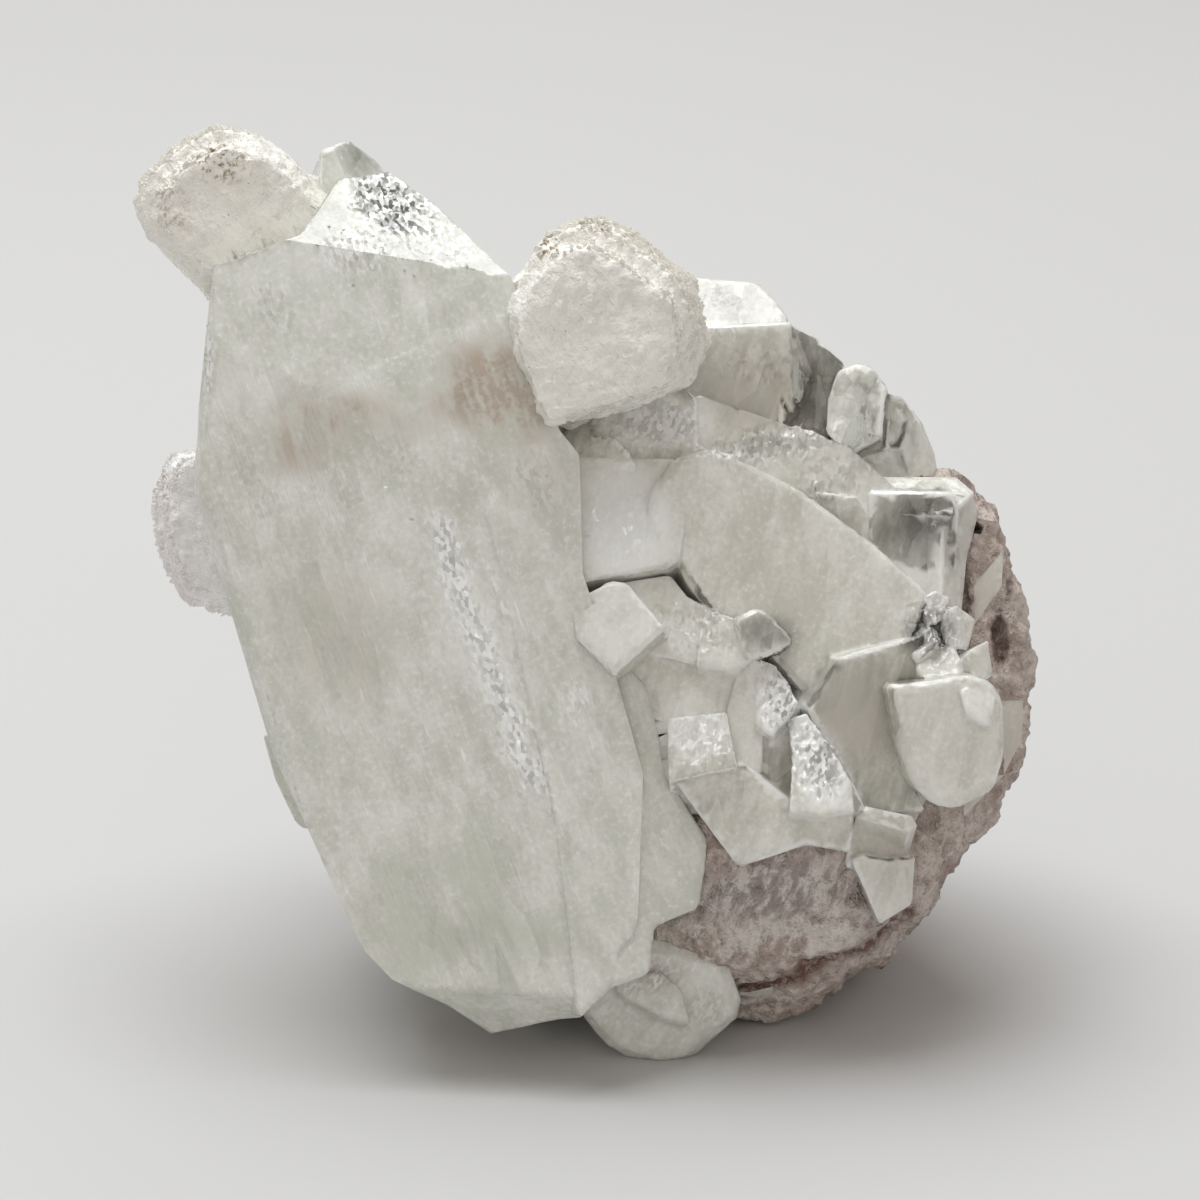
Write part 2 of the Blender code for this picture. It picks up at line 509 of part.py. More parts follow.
def build():
    clear_scene()
    parts = new_collection("apophyllite_cluster")
    helpers = new_collection("cutters")

    def grown(crystals, name):
        return joined(crystals(GAP), name, helpers)

    great = joined(great_crystal(), "great", helpers)
    group = joined(stepped_crystals(), "group", helpers)
    foot = joined(foot_crystal(), "foot", helpers)
    rock = joined(matrix_lumps(), "rock", helpers)
    fracture(rock)
    roughen(rock)
    apply_booleans(rock, druse(rock), "UNION")

    apply_booleans(great, [floor_cutter(helpers)], "DIFFERENCE")
    apply_booleans(group, [grown(great_crystal, "great_cutter"), floor_cutter(helpers)], "DIFFERENCE")
    apply_booleans(foot, [grown(great_crystal, "great_cutter"), floor_cutter(helpers)], "DIFFERENCE")
    cutters = [grown(great_crystal, "great_cutter"), grown(stepped_crystals, "group_cutter"),
               grown(foot_crystal, "foot_cutter"), floor_cutter(helpers)]
    apply_booleans(rock, cutters, "DIFFERENCE")
    nodes = [
        finish(great, "great_crystal", "great_crystal", parts),
        finish(group, "stepped_crystals", "stepped_crystals", parts),
        finish(foot, "foot_crystal", "great_crystal", parts),
        finish(rock, "matrix", "matrix", parts),
    ]
    for name, (shape, seed, slot) in SHEAVES.items():
        sheaf = joined(sheaf_plates(**shape, seed=seed), name, helpers)
        cutters = [grown(great_crystal, "great_cutter"), grown(stepped_crystals, "group_cutter")]
        apply_booleans(sheaf, cutters, "DIFFERENCE")
        nodes.append(finish(sheaf, name, slot, parts))
    stand(nodes)


build()
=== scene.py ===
"""Looks of an apophyllite cluster: its crystals, stilbite sheaves and rock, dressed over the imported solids.

Shapes are worked on in millimetres in the sight frame: x runs right, y away from the viewer and z up the
plane of the show side, which leans back. SIGHT takes that frame to the row frame, in metres.
"""

import math
import random

import bmesh
import bpy
import numpy as np
from bpy.props import FloatProperty, FloatVectorProperty, IntProperty, PointerProperty
from mathutils import Matrix, Vector, kdtree, noise
from mathutils.bvhtree import BVHTree


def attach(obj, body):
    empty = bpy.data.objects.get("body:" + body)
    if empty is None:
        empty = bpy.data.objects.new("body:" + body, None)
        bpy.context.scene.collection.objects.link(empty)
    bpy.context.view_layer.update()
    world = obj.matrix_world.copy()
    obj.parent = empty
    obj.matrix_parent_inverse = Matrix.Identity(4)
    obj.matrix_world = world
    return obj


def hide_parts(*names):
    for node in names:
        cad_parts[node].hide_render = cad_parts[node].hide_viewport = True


bl_info = {
    "name": "Apophyllite Cluster",
    "version": (1, 0, 0),
    "blender": (4, 5, 0),
    "location": "3D Viewport > Sidebar > Cluster",
    "description": "Dresses a mineral specimen: crystals, stilbite sheaves, rock and stage",
    "category": "Object",
}

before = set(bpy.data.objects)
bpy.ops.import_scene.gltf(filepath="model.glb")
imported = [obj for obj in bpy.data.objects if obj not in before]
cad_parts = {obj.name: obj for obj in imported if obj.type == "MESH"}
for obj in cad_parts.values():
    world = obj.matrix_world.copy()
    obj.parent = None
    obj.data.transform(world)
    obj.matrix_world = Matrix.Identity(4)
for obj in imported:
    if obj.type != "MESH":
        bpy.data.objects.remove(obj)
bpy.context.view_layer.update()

MM = 0.001
LEAN = math.radians(20.0)
SIGHT_ORIGIN = Vector((1.36, -22.67, 0.0))
SIGHT = Matrix.Scale(MM, 4) @ Matrix.Translation(SIGHT_ORIGIN) @ Matrix.Rotation(-LEAN, 4, "X")

# The camera stands on the sight line, so far from the sight plane and so far up it
CAMERA_AWAY = 450.0
CAMERA_UP = 37.6
CAMERA_LENS = 168.75
CAMERA_SENSOR = 36.0

# The way the great crystal grows, up and a little to the left
GREAT_AXIS = Vector((-0.34, 0.0, 0.94)).normalized()
UP = np.array(Matrix.Rotation(-LEAN, 3, "X"))[2]

# Two faces belong to one flat below the first angle, and an edge is drawn sharp above the second
FLAT_ANGLE = math.radians(1.5)
SHARP_ANGLE = math.radians(26.0)

# How often long edges are split, and after how many of the splits the triangles are evened out
REFINE_ROUNDS = 9
BEAUTY_ROUNDS = 5

# In millimetres: corners that are one, slivers taken out, how far a surface is drawn over to a neighbour and
# how deep into it, and the width below which a flat counts as a worn edge
MERGE_GAP = 0.002
SLIVER = 0.03
SEAM_REACH = 0.75
SEAM_OVERLAP = 0.15
BEVEL_WIDTH = 0.45

ROCK_IOR = 1.5
FLOOR_HALF = 4.0


# Sockets and node trees

class Value:
    """A socket in a node tree. Sums, differences and products of values add Math nodes."""

    def __init__(self, tree, socket):
        self.tree = tree
        self.socket = socket

    def maths(self, operation, first, second):
        return self.tree.node("ShaderNodeMath", {"operation": operation}, {0: first, 1: second})

    def __add__(self, other):
        return self.maths("ADD", self, other)

    def __radd__(self, other):
        return self.maths("ADD", other, self)

    def __sub__(self, other):
        return self.maths("SUBTRACT", self, other)

    def __rsub__(self, other):
        return self.maths("SUBTRACT", other, self)

    def __mul__(self, other):
        return self.maths("MULTIPLY", self, other)

    def __rmul__(self, other):
        return self.maths("MULTIPLY", other, self)


class Tree:
    """A node tree being written: node() adds one node and gives back one of its outputs."""

    def __init__(self, tree):
        self.tree = tree
        tree.nodes.clear()

    def node(self, kind, settings=None, sockets=None, output=0):
        made = self.tree.nodes.new(kind)
        for key, value in (settings or {}).items():
            if key == "stops":
                self.set_stops(made.color_ramp, value)
            else:
                setattr(made, key, value)
        for key, value in (sockets or {}).items():
            if isinstance(value, Value):
                self.tree.links.new(value.socket, made.inputs[key])
            else:
                made.inputs[key].default_value = value
        return Value(self, made.outputs[output]) if len(made.outputs) else made

    def outputs(self, value, output):
        """Another output of the node that a value comes from."""
        return Value(self, value.socket.node.outputs[output])

    def set_stops(self, ramp, stops):
        while len(ramp.elements) < len(stops):
            ramp.elements.new(1.0)
        for element, (place, colour) in zip(ramp.elements, stops):
            element.position = place
            element.color = colour


class Finish(Tree):
    """A material's tree, with the patterns that minerals share."""

    def __init__(self, name):
        self.material = bpy.data.materials.new(name)
        self.material.use_nodes = True
        super().__init__(self.material.node_tree)
        place = self.node("ShaderNodeTexCoord", output="Object")
        self.sight = self.node("ShaderNodeMapping", {"vector_type": "TEXTURE"}, {
            "Vector": place, "Location": SIGHT_ORIGIN * MM, "Rotation": (-LEAN, 0.0, 0.0),
            "Scale": (MM, MM, MM)})

    def turned(self, place, angles, stretch=(1.0, 1.0, 1.0)):
        """The place read in a turned frame, drawn out where stretch is above 1."""
        return self.node("ShaderNodeMapping", {"vector_type": "TEXTURE"}, {
            "Vector": place, "Rotation": angles, "Scale": stretch})

    def stretched(self, place, across, along):
        """The place read so that a pattern a unit across is across wide and along high."""
        return self.turned(place, (0.0, 0.0, 0.0), (across, across, along))

    def noise(self, place, size, detail=3.0, roughness=0.55):
        """Smooth noise from 0 to 1 whose lumps are size millimetres across."""
        return self.node("ShaderNodeTexNoise", {"noise_dimensions": "3D"}, {
            "Vector": place, "Scale": 1.0 / size, "Detail": detail, "Roughness": roughness})

    def cells(self, place, size, output="Distance"):
        """Cells of about the size, in millimetres: how far from a cell's middle, or its chance colour."""
        return self.node("ShaderNodeTexVoronoi", {}, {"Vector": place, "Scale": 1.0 / size}, output)

    def attribute(self, name):
        return self.node("ShaderNodeAttribute", {"attribute_name": name}, output="Fac")

    def ramp(self, value, low, high):
        """0 below low, 1 above high, and smooth between."""
        return self.node("ShaderNodeMapRange", {"interpolation_type": "SMOOTHSTEP"}, {
            "Value": value, "From Min": low, "From Max": high, "To Min": 0.0, "To Max": 1.0})

    def clamp(self, value, low=0.0, high=1.0):
        return self.node("ShaderNodeClamp", {}, {"Value": value, "Min": low, "Max": high})

    def blend(self, share, first, second):
        """A colour between two colours."""
        return self.node("ShaderNodeMix", {"data_type": "RGBA"}, {0: share, 6: first, 7: second}, 2)

    def vector(self, operation, first, second):
        return self.node("ShaderNodeVectorMath", {"operation": operation}, {0: first, 1: second})

    def tilted(self, place, lean, under):
        """A normal broken into small flats, a unit across, each tilted its own way by up to about lean.

        Gives the normal, and a chance number for each flat.
        """
        cell = self.cells(place, 1.0, "Color")
        way = self.node("ShaderNodeVectorMath", {"operation": "SCALE"}, {
            0: self.vector("SUBTRACT", cell, (0.5, 0.5, 0.5)), "Scale": 2.0 * lean})
        return self.vector("NORMALIZE", self.vector("ADD", under, way), (0.0, 0.0, 0.0)), cell

    def facing(self):
        """The normal of the surface itself."""
        return self.node("ShaderNodeNewGeometry", output="Normal")

    def bump(self, height, under):
        """A normal from heights in millimetres, over the normal under it."""
        return self.node("ShaderNodeBump", {}, {
            "Height": height, "Distance": MM, "Strength": 1.0, "Normal": under})

    def principled(self, **sockets):
        named = {key.replace("_", " "): value for key, value in sockets.items()}
        return self.node("ShaderNodeBsdfPrincipled", {}, named)

    def mixed(self, share, first, second):
        return self.node("ShaderNodeMixShader", {}, {0: share, 1: first, 2: second})

    def done(self, surface, volume=None):
        sockets = {"Surface": surface}
        if volume is not None:
            sockets["Volume"] = volume
        self.node("ShaderNodeOutputMaterial", {}, sockets)
        return self.material


class Growth(Tree):
    """A Geometry Nodes tree with named inputs, run once on a mesh and turned into a plain mesh."""

    def __init__(self, name, inputs):
        group = bpy.data.node_groups.new(name, "GeometryNodeTree")
        super().__init__(group)
        face = group.interface
        face.new_socket("Geometry", in_out="INPUT", socket_type="NodeSocketGeometry")
        for title, kind in inputs:
            face.new_socket(title, in_out="INPUT", socket_type="NodeSocket" + kind)
        face.new_socket("Geometry", in_out="OUTPUT", socket_type="NodeSocketGeometry")
        self.entry = group.nodes.new("NodeGroupInput")

    def input(self, title):
        return Value(self, self.entry.outputs[title])

    def close(self, geometry):
        """Ends the tree: instances are realized and take the finish."""
        real = self.node("GeometryNodeRealizeInstances", {}, {"Geometry": geometry})
        clad = self.node("GeometryNodeSetMaterial", {}, {"Geometry": real, "Material": self.input("Finish")})
        self.node("NodeGroupOutput", {}, {"Geometry": clad})

    def run(self, mesh, values):
        """The plain mesh that the tree grows on a mesh."""
        def fill(modifier):
            modifier.node_group = self.tree
            for item in self.tree.interface.items_tree:
                if item.item_type == "SOCKET" and item.in_out == "INPUT" and item.name in values:
                    modifier[item.identifier] = values[item.name]

        return changed(mesh, "NODES", fill)


# Meshes in the sight frame, in millimetres

def changed(mesh, kind, fill):
    """The plain mesh that one modifier makes of a mesh; fill sets the modifier."""
    holder = bpy.data.objects.new("changing", mesh)
    bpy.context.scene.collection.objects.link(holder)
    fill(holder.modifiers.new("change", kind))
    graph = bpy.context.evaluated_depsgraph_get()
    made = bpy.data.meshes.new_from_object(holder.evaluated_get(graph), depsgraph=graph)
    bpy.data.objects.remove(holder)
    return made


def node_copy(node):
    """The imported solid's mesh, merged, in the sight frame."""
    bm = bmesh.new()
    bm.from_mesh(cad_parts[node].data)
    bm.transform(SIGHT.inverted())
    bmesh.ops.remove_doubles(bm, verts=bm.verts, dist=MERGE_GAP)
    bm.normal_update()
    return bm


def label_flats(bm, angle=FLAT_ANGLE):
    """Numbers the flat faces, so that each can have its own growth lines.

    Returns for each flat its normal, its middle, its area and how wide it is on average.
    """
    layer = bm.faces.layers.int.new("flat")
    found = []
    for start in bm.faces:
        if start[layer]:
            continue
        number = len(found) + 1
        start[layer] = number
        open_faces = [start]
        area, centre, rim = 0.0, Vector(), 0.0
        while open_faces:
            face = open_faces.pop()
            size = face.calc_area()
            area += size
            centre += face.calc_center_median() * size
            for edge in face.edges:
                for other in edge.link_faces:
                    if other[layer] == 0 and other.normal.angle(start.normal, 1.0) < angle:
                        other[layer] = number
                        open_faces.append(other)
                    elif other[layer] != number:
                        rim += edge.calc_length()
        found.append((start.normal.copy(), centre / max(area, 1e-9), area, 2.0 * area / max(rim, 1e-6)))
    return found


def refine(bm, grain, near=None):
    """Splits long edges until few are over the grain, or over what near(middle) allows."""
    layer = bm.faces.layers.int["flat"]
    for turn in range(REFINE_ROUNDS):
        long = []
        for edge in bm.edges:
            length = edge.calc_length()
            if length > grain or (near and length > near((edge.verts[0].co + edge.verts[1].co) / 2)):
                long.append(edge)
        if not long:
            break
        bmesh.ops.subdivide_edges(bm, edges=long, cuts=1)
        bmesh.ops.triangulate(bm, faces=[f for f in bm.faces if len(f.verts) > 3])
        if turn < BEAUTY_ROUNDS:
            inner = [e for e in bm.edges if len({f[layer] for f in e.link_faces}) == 1]
            bmesh.ops.beautify_fill(bm, faces=bm.faces, edges=inner, method="ANGLE")
    bmesh.ops.dissolve_degenerate(bm, dist=SLIVER, edges=bm.edges)
    bmesh.ops.triangulate(bm, faces=[f for f in bm.faces if len(f.verts) > 3])


def mesh_from(bm, name):
    mesh = bpy.data.meshes.new(name)
    bm.to_mesh(mesh)
    bm.free()
    return mesh


def points_of(mesh):
    co = np.empty(len(mesh.vertices) * 3, np.float32)
    mesh.vertices.foreach_get("co", co)
    return co.reshape(-1, 3).astype(float)


def normals_of(mesh):
    out = np.empty(len(mesh.vertices) * 3, np.float32)
    mesh.vertices.foreach_get("normal", out)
    return out.reshape(-1, 3).astype(float)


def move_points(mesh, points):
    mesh.vertices.foreach_set("co", points.astype(np.float32).ravel())
    mesh.update()


def heights_of(points):
    """How far points of the sight frame are above the floor, in millimetres."""
    return points @ UP


def face_values(mesh, name):
    values = np.empty(len(mesh.polygons), np.int32)
    mesh.attributes[name].data.foreach_get("value", values)
    return values


def per_vertex(mesh, face_value):
    """A face's value carried to its corners."""
    corner = np.empty(len(mesh.loops), np.int32)
    mesh.loops.foreach_get("vertex_index", corner)
    count = np.empty(len(mesh.polygons), np.int32)
    mesh.polygons.foreach_get("loop_total", count)
    out = np.zeros(len(mesh.vertices), face_value.dtype)
    out[corner] = np.repeat(face_value, count)
    return out


def paint(mesh, name, values):
    """Keeps a pattern on the mesh for its finish to read."""
    layer = mesh.attributes.new(name, "FLOAT", "POINT")
    layer.data.foreach_set("value", np.clip(values, -1.0, 2.0).astype(np.float32))


def paint_plain(mesh, names):
    """Patterns that a finish reads but this mesh doesn't have."""
    for name in names:
        paint(mesh, name, np.zeros(len(mesh.vertices)))


def paint_over(mesh, name, values):
    """Paints a pattern, in place of the one of that name."""
    if name in mesh.attributes:
        mesh.attributes.remove(mesh.attributes[name])
    paint(mesh, name, values)


def spot(points, centre, radii, turn):
    """1 at the centre of an oval on the show side, falling smoothly to 0 at its rim."""
    side = points[:, 0] - centre[0]
    up = points[:, 2] - centre[1]
    cosine, sine = math.cos(math.radians(turn)), math.sin(math.radians(turn))
    reach = ((side * cosine + up * sine) / radii[0]) ** 2 + ((up * cosine - side * sine) / radii[1]) ** 2
    inside = np.clip(1.0 - reach, 0.0, 1.0)
    return inside * inside * (3.0 - 2.0 * inside)


def spots(points, listed):
    """The sum of ovals, each (centre, radii, turn, strength)."""
    total = np.zeros(len(points))
    for centre, radii, turn, strength in listed:
        total += strength * spot(points, centre, radii, turn)
    return total


def from_line(points, route):
    """How far each point is from a route on the show side."""
    nearest = np.full(len(points), 1e9)
    flat = points[:, [0, 2]]
    for a, b in zip(route, route[1:]):
        a, b = np.array(a), np.array(b)
        along = np.clip((flat - a) @ (b - a) / ((b - a) @ (b - a)), 0.0, 1.0)
        nearest = np.minimum(nearest, np.linalg.norm(flat - a - along[:, None] * (b - a), axis=1))
    return nearest


def rolling(points, size, seed, octaves=1):
    """Smooth noise, about -1 to 1, whose lumps are size millimetres across."""
    shift = Vector((seed * 1.7, seed * 3.1, seed * 5.3))
    out = np.zeros(len(points))
    for octave in range(octaves):
        pitch = 2.0**octave / size
        rows = points * pitch
        out += np.array([noise.noise(Vector(row) + shift) for row in rows]) / 2.0**octave
    return out


def tilted_heights(points, chosen, size, seed):
    """Heights of small flats over the chosen points, each flat tilted its own way."""
    chance = random.Random(seed)
    index = np.flatnonzero(chosen)
    out = np.zeros(len(points))
    if len(index) == 0:
        return out
    grid = {tuple(np.floor(points[i] / size).astype(int)) for i in index}
    centres = [(np.array(g) + [chance.random() for _ in range(3)]) * size for g in sorted(grid)]
    tree = kdtree.KDTree(len(centres))
    leans = []
    for k, centre in enumerate(centres):
        tree.insert(centre, k)
        leans.append(np.array([chance.uniform(-1.0, 1.0) for _ in range(4)]))
    tree.balance()
    for i in index:
        middle, k, _ = tree.find(points[i])
        out[i] = (points[i] - middle) @ leans[k][:3] + 0.35 * size * leans[k][3]
    return out


def surfaces_of(nodes):
    """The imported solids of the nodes, ready to be searched for their nearest point."""
    trees = []
    for name in nodes:
        solid = node_copy(name)
        trees.append(BVHTree.FromBMesh(solid))
        solid.free()
    return trees


def closed_seams(mesh, neighbours):
    """Draws the surface over to a neighbour that it grows against, so that no slit is left between them."""
    trees = surfaces_of(neighbours)
    points = points_of(mesh)
    normals = normals_of(mesh)
    for i, point in enumerate(points):
        for tree in trees:
            place, _, _, gap = tree.find_nearest(Vector(point), SEAM_REACH)
            if place is not None and (np.array(place) - point) @ normals[i] > 0.2 * gap:
                points[i] += (np.array(place) - point) * (1.0 + SEAM_OVERLAP / max(gap, 0.05))
                break
    sunk = np.minimum(heights_of(points), 0.0)
    move_points(mesh, points - sunk[:, None] * UP)


def placed(mesh, name, nodes, finishes):
    """Makes the finished piece: row frame, finishes, crisp edges, and the solids that it stands for."""
    mesh.transform(SIGHT)
    mesh.name = name
    mesh.materials.clear()
    for finish in finishes:
        mesh.materials.append(finish)
    mesh.shade_smooth()
    mesh.set_sharp_from_angle(angle=SHARP_ANGLE)
    piece = bpy.data.objects.new(name, mesh)
    bpy.context.scene.collection.objects.link(piece)
    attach(piece, "root")
    if nodes:
        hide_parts(*nodes)
    return piece


# Finishes

def crystal_finish(name, look, axis=(0.0, 0.0, 0.0)):
    """Glassy, partly milky crystal: clouds, veils, fine lines along the growth, stains and etched flats, with
    painted glints, painted dark reflections and painted highlights on worn edges and bright faces.
    """
    finish = Finish(name)
    place = finish.turned(finish.sight, axis)
    clouds = finish.noise(place, 4.5, 1.0, 0.6)
    veils = finish.noise(finish.stretched(place, 1.0, 3.0), 1.4, 2.0, 0.65)
    grain = finish.noise(place, 0.45, 1.0, 0.7)
    lines = finish.noise(finish.stretched(place, 1.0, 10.0), 0.24, 1.0, 0.6)
    edge = finish.attribute("edge")
    etch = finish.attribute("etch")
    normal, plate = finish.tilted(finish.stretched(place, 1.5, 4.2), 0.07, finish.facing())
    normal, flake = finish.tilted(finish.stretched(place, 0.28, 0.5), 0.03 + 0.45 * etch, normal)
    # Whiter patches, with painted highlights where faces are meant to mirror the light
    bright = finish.attribute("bright")
    # Painted glints on the etched flats
    glitter = finish.attribute("glitter")
    where = finish.ramp(veils * 0.6 + clouds * 0.4, 0.50, 0.62)
    scratch = look.lines * finish.ramp(lines, 0.60, 0.74) * where
    milk = finish.attribute("milk") + 0.20 * (clouds - 0.5) + 0.30 * (veils - 0.5) + 0.20 * (plate - 0.5)
    milk = finish.clamp(milk + 0.22 * scratch + 0.10 * edge + 0.20 * bright, 0.04, 0.98)
    blotch = finish.ramp(veils * 0.5 + clouds * 0.3 + grain * 0.2, 0.42, 0.60)
    stain = finish.clamp(finish.attribute("stain") * (0.25 + 1.1 * blotch))
    mist = clouds * 0.35 + veils * 0.35 + grain * 0.30 + 0.07 * (plate - 0.5) + 0.25 * bright
    tone = finish.blend(finish.ramp(mist, 0.32, 0.66), look.deep_tone, look.milk_tone)
    # Paler: fine white scratches and grain, with a painted highlight on worn edges and bright faces
    pale = 0.75 * scratch + look.rim * edge + 0.8 * bright + 0.25 * finish.ramp(grain, 0.58, 0.75)
    # Painted glints: single flakes painted white
    pale = pale + glitter * finish.ramp(flake, 0.54, 0.58)
    # The pale parts take the colour of the veils, which is also the colour of the painted highlights and
    # glints
    tone = finish.blend(finish.clamp(pale), tone, look.veil_and_glint_tone)
    # Painted dark reflections: flakes painted near black where the glints are strongest
    dark = finish.clamp((glitter - 0.45) * finish.ramp(flake, 0.40, 0.36))
    tone = finish.blend(dark, tone, look.dark_tone)
    tone = finish.blend(stain, tone, look.stain_tone)
    normal = finish.bump(lines * 0.034 * look.lines + grain * 0.020, normal)
    rough = finish.clamp(0.07 + 0.17 * finish.ramp(grain, 0.45, 0.8) - 0.12 * etch, 0.03, 0.5)
    body = finish.principled(
        Base_Color=tone, Roughness=rough, Normal=normal, IOR=look.ior, Subsurface_Weight=look.soft,
        Subsurface_Radius=(1.0, 1.0, 0.95), Subsurface_Scale=look.glow * MM)
    clear = finish.principled(
        Base_Color=finish.blend(stain * 0.7, look.clear_tone, look.stain_tone), Roughness=rough * 0.5,
        Normal=normal, IOR=look.ior, Transmission_Weight=1.0)
    depth = finish.node("ShaderNodeVolumeAbsorption", {}, {
        "Color": look.depth_tone, "Density": look.depth_density})
    return finish.done(finish.mixed(finish.ramp(milk, 0.02, 0.80), clear, body), depth)


def rock_finish(look):
    """Broken rock: pinkish brown to purple grey, pale weathered skin, dark pits with painted shade in the
    hollows, and a rusty seam.
    """
    finish = Finish("broken_rock")
    place = finish.sight
    broad = finish.noise(place, 6.0, 3.0, 0.6)
    grain = finish.noise(place, 0.9, 3.0, 0.7)
    fine = finish.noise(place, 0.25, 1.0, 0.6)
    tone = finish.blend(finish.ramp(broad * 0.5 + grain * 0.5, 0.38, 0.62), look.dark_tone, look.pale_tone)
    striae = finish.noise(finish.turned(place, (0.0, 0.35, 0.0), (1.0, 1.0, 4.0)), 0.8, 3.0, 0.65)
    dark = finish.blend(finish.ramp(striae, 0.40, 0.64), look.purple_tone, look.skin_tone)
    tone = finish.blend(finish.clamp(finish.attribute("purple")), tone, dark)
    skin = finish.attribute("pale") * (0.10 + 1.3 * finish.ramp(grain * 0.5 + broad * 0.5, 0.42, 0.58))
    tone = finish.blend(finish.clamp(skin), tone, look.skin_tone)
    # Dark pits, and painted shade wherever the surface lies low
    pit = finish.ramp(finish.attribute("pit") + 0.5 * (grain - 0.5), 0.35, 0.9)
    tone = finish.blend(pit, tone, look.pit_and_shade_tone)
    rust = finish.attribute("seam") * finish.ramp(grain, 0.30, 0.55)
    tone = finish.blend(finish.clamp(rust), tone, look.rust_tone)
    normal, chip = finish.tilted(finish.stretched(place, 0.9, 1.3), 0.35, finish.facing())
    shine = finish.ramp(fine + 0.3 * (chip - 0.5), 0.45, 0.7)
    body = finish.principled(
        Base_Color=tone, Roughness=finish.clamp(0.75 - 0.6 * shine, 0.15, 0.9),
        Normal=finish.bump(grain * 0.50 + fine * 0.10, normal), IOR=ROCK_IOR)
    return finish.done(body)


def stilbite_finish(name, look, tone_a, tone_b):
    """Waxy to pearly stilbite: fine ribs, a warmer rim, brown specks and a soft glow."""
    finish = Finish(name)
    place = finish.sight
    broad = finish.noise(place, 4.5, 2.0, 0.6)
    grain = finish.noise(place, 0.5, 2.0, 0.65)
    tone = finish.blend(finish.ramp(broad, 0.35, 0.65), tone_a, tone_b)
    tone = finish.blend(finish.clamp(finish.attribute("rim") * 0.25), tone, look.rim_tone)
    specks = finish.ramp(finish.cells(place, 0.7), 0.11, 0.06)
    specks = specks * finish.ramp(finish.noise(place, 2.6), 0.54, 0.60)
    smut = finish.ramp(finish.noise(place, 0.55, 4.0, 0.75), 0.48, 0.62)
    dirt = finish.clamp(finish.attribute("dirt") * smut)
    tone = finish.blend(finish.clamp(specks * 0.8 + dirt), tone, look.speck_tone)
    fanned = finish.turned(place, (0.0, math.radians(-38.0), 0.0), (1.0, 1.0, 9.0))
    fan = finish.noise(fanned, 0.35, 1.0, 0.6)
    normal, chip = finish.tilted(finish.stretched(place, 0.55, 0.55), 0.12, finish.facing())
    body = finish.principled(
        Base_Color=tone, Roughness=finish.clamp(0.50 - 0.45 * finish.ramp(chip, 0.55, 0.65), 0.1, 0.8),
        Normal=finish.bump(grain * 0.20 + fan * 0.12, normal), IOR=ROCK_IOR, Subsurface_Weight=0.1,
        Subsurface_Radius=(1.0, 0.9, 0.72), Subsurface_Scale=look.glow * MM, Coat_Weight=0.15,
        Coat_Roughness=0.3)
    return finish.done(body)


# Pieces

# Ovals on the great crystal: centre, radii, turn, strength
GREAT_CLEAR = [
    ((-21.0, 37.8), (5.5, 7.5), 15, -0.12), ((-18.9, 29.7), (6.0, 8.0), 18, -0.10),
    ((-8.7, 10.0), (7.0, 4.6), 0, -0.10), ((-2.0, 33.0), (3.5, 11.0), 12, -0.14),
    ((-23.0, 56.0), (6.0, 4.0), 20, -0.06), ((-17.0, 69.6), (5.4, 3.6), -25, -0.30),
    ((-20.0, 74.5), (4.0, 3.0), 0, -0.35),
]
GREAT_MILKY = [
    ((-15.0, 18.3), (7.0, 5.5), 12, 0.28), ((-5.5, 15.9), (3.6, 4.8), 12, 0.28),
    ((-12.0, 46.0), (5.5, 7.5), 18, 0.20), ((-10.5, 35.0), (4.0, 10.0), 18, 0.24),
    ((-17.0, 64.0), (7.0, 6.0), 20, 0.14), ((-27.0, 45.5), (2.4, 5.0), 10, 0.22),
]
GREAT_STAINS = [
    ((-22.7, 51.0), (6.4, 4.0), 20, 0.62), ((-7.8, 54.0), (6.6, 5.0), -20, 0.95),
    ((-16.5, 52.0), (6.0, 3.0), 10, 0.30), ((-20.5, 34.5), (6.0, 7.0), 20, 0.22),
    ((-4.5, 46.5), (3.6, 3.4), 0, 0.25),
]
GREAT_ETCHED = [
    ((-17.0, 69.6), (4.6, 3.0), -25, 1.0), ((-18.5, 65.5), (4.2, 3.0), 10, 0.55),
    ((-26.0, 60.5), (2.6, 3.6), 30, 0.45), ((-2.0, 29.3), (2.4, 2.6), 0, 0.5),
    ((0.2, 25.0), (1.5, 5.5), 12, 0.45),
    ((-26.7, 45.7), (1.6, 3.6), 20, 0.4), ((-15.4, 48.4), (1.6, 2.6), 20, 0.4),
    ((-4.8, 47.1), (3.4, 3.6), 0, 0.35), ((4.1, 5.9), (2.6, 2.0), 0, 0.6),
]
# Ovals painted whiter or darker on the great crystal: milky white patches and a darker lower part
GREAT_WHITE_AND_SHEEN = [
    ((-15.0, 18.3), (5.0, 4.0), 12, 0.20), ((-5.5, 15.9), (2.6, 3.8), 12, 0.25),
    ((-24.0, 64.0), (4.0, 3.0), 20, 0.12), ((-10.5, 35.0), (3.0, 9.0), 18, 0.25),
    ((-26.0, 62.0), (5.0, 4.0), 20, 0.12), ((-12.0, 12.0), (12.0, 10.0), 0, -0.45),
    ((-22.0, 36.0), (8.0, 12.0), 20, -0.15),
]
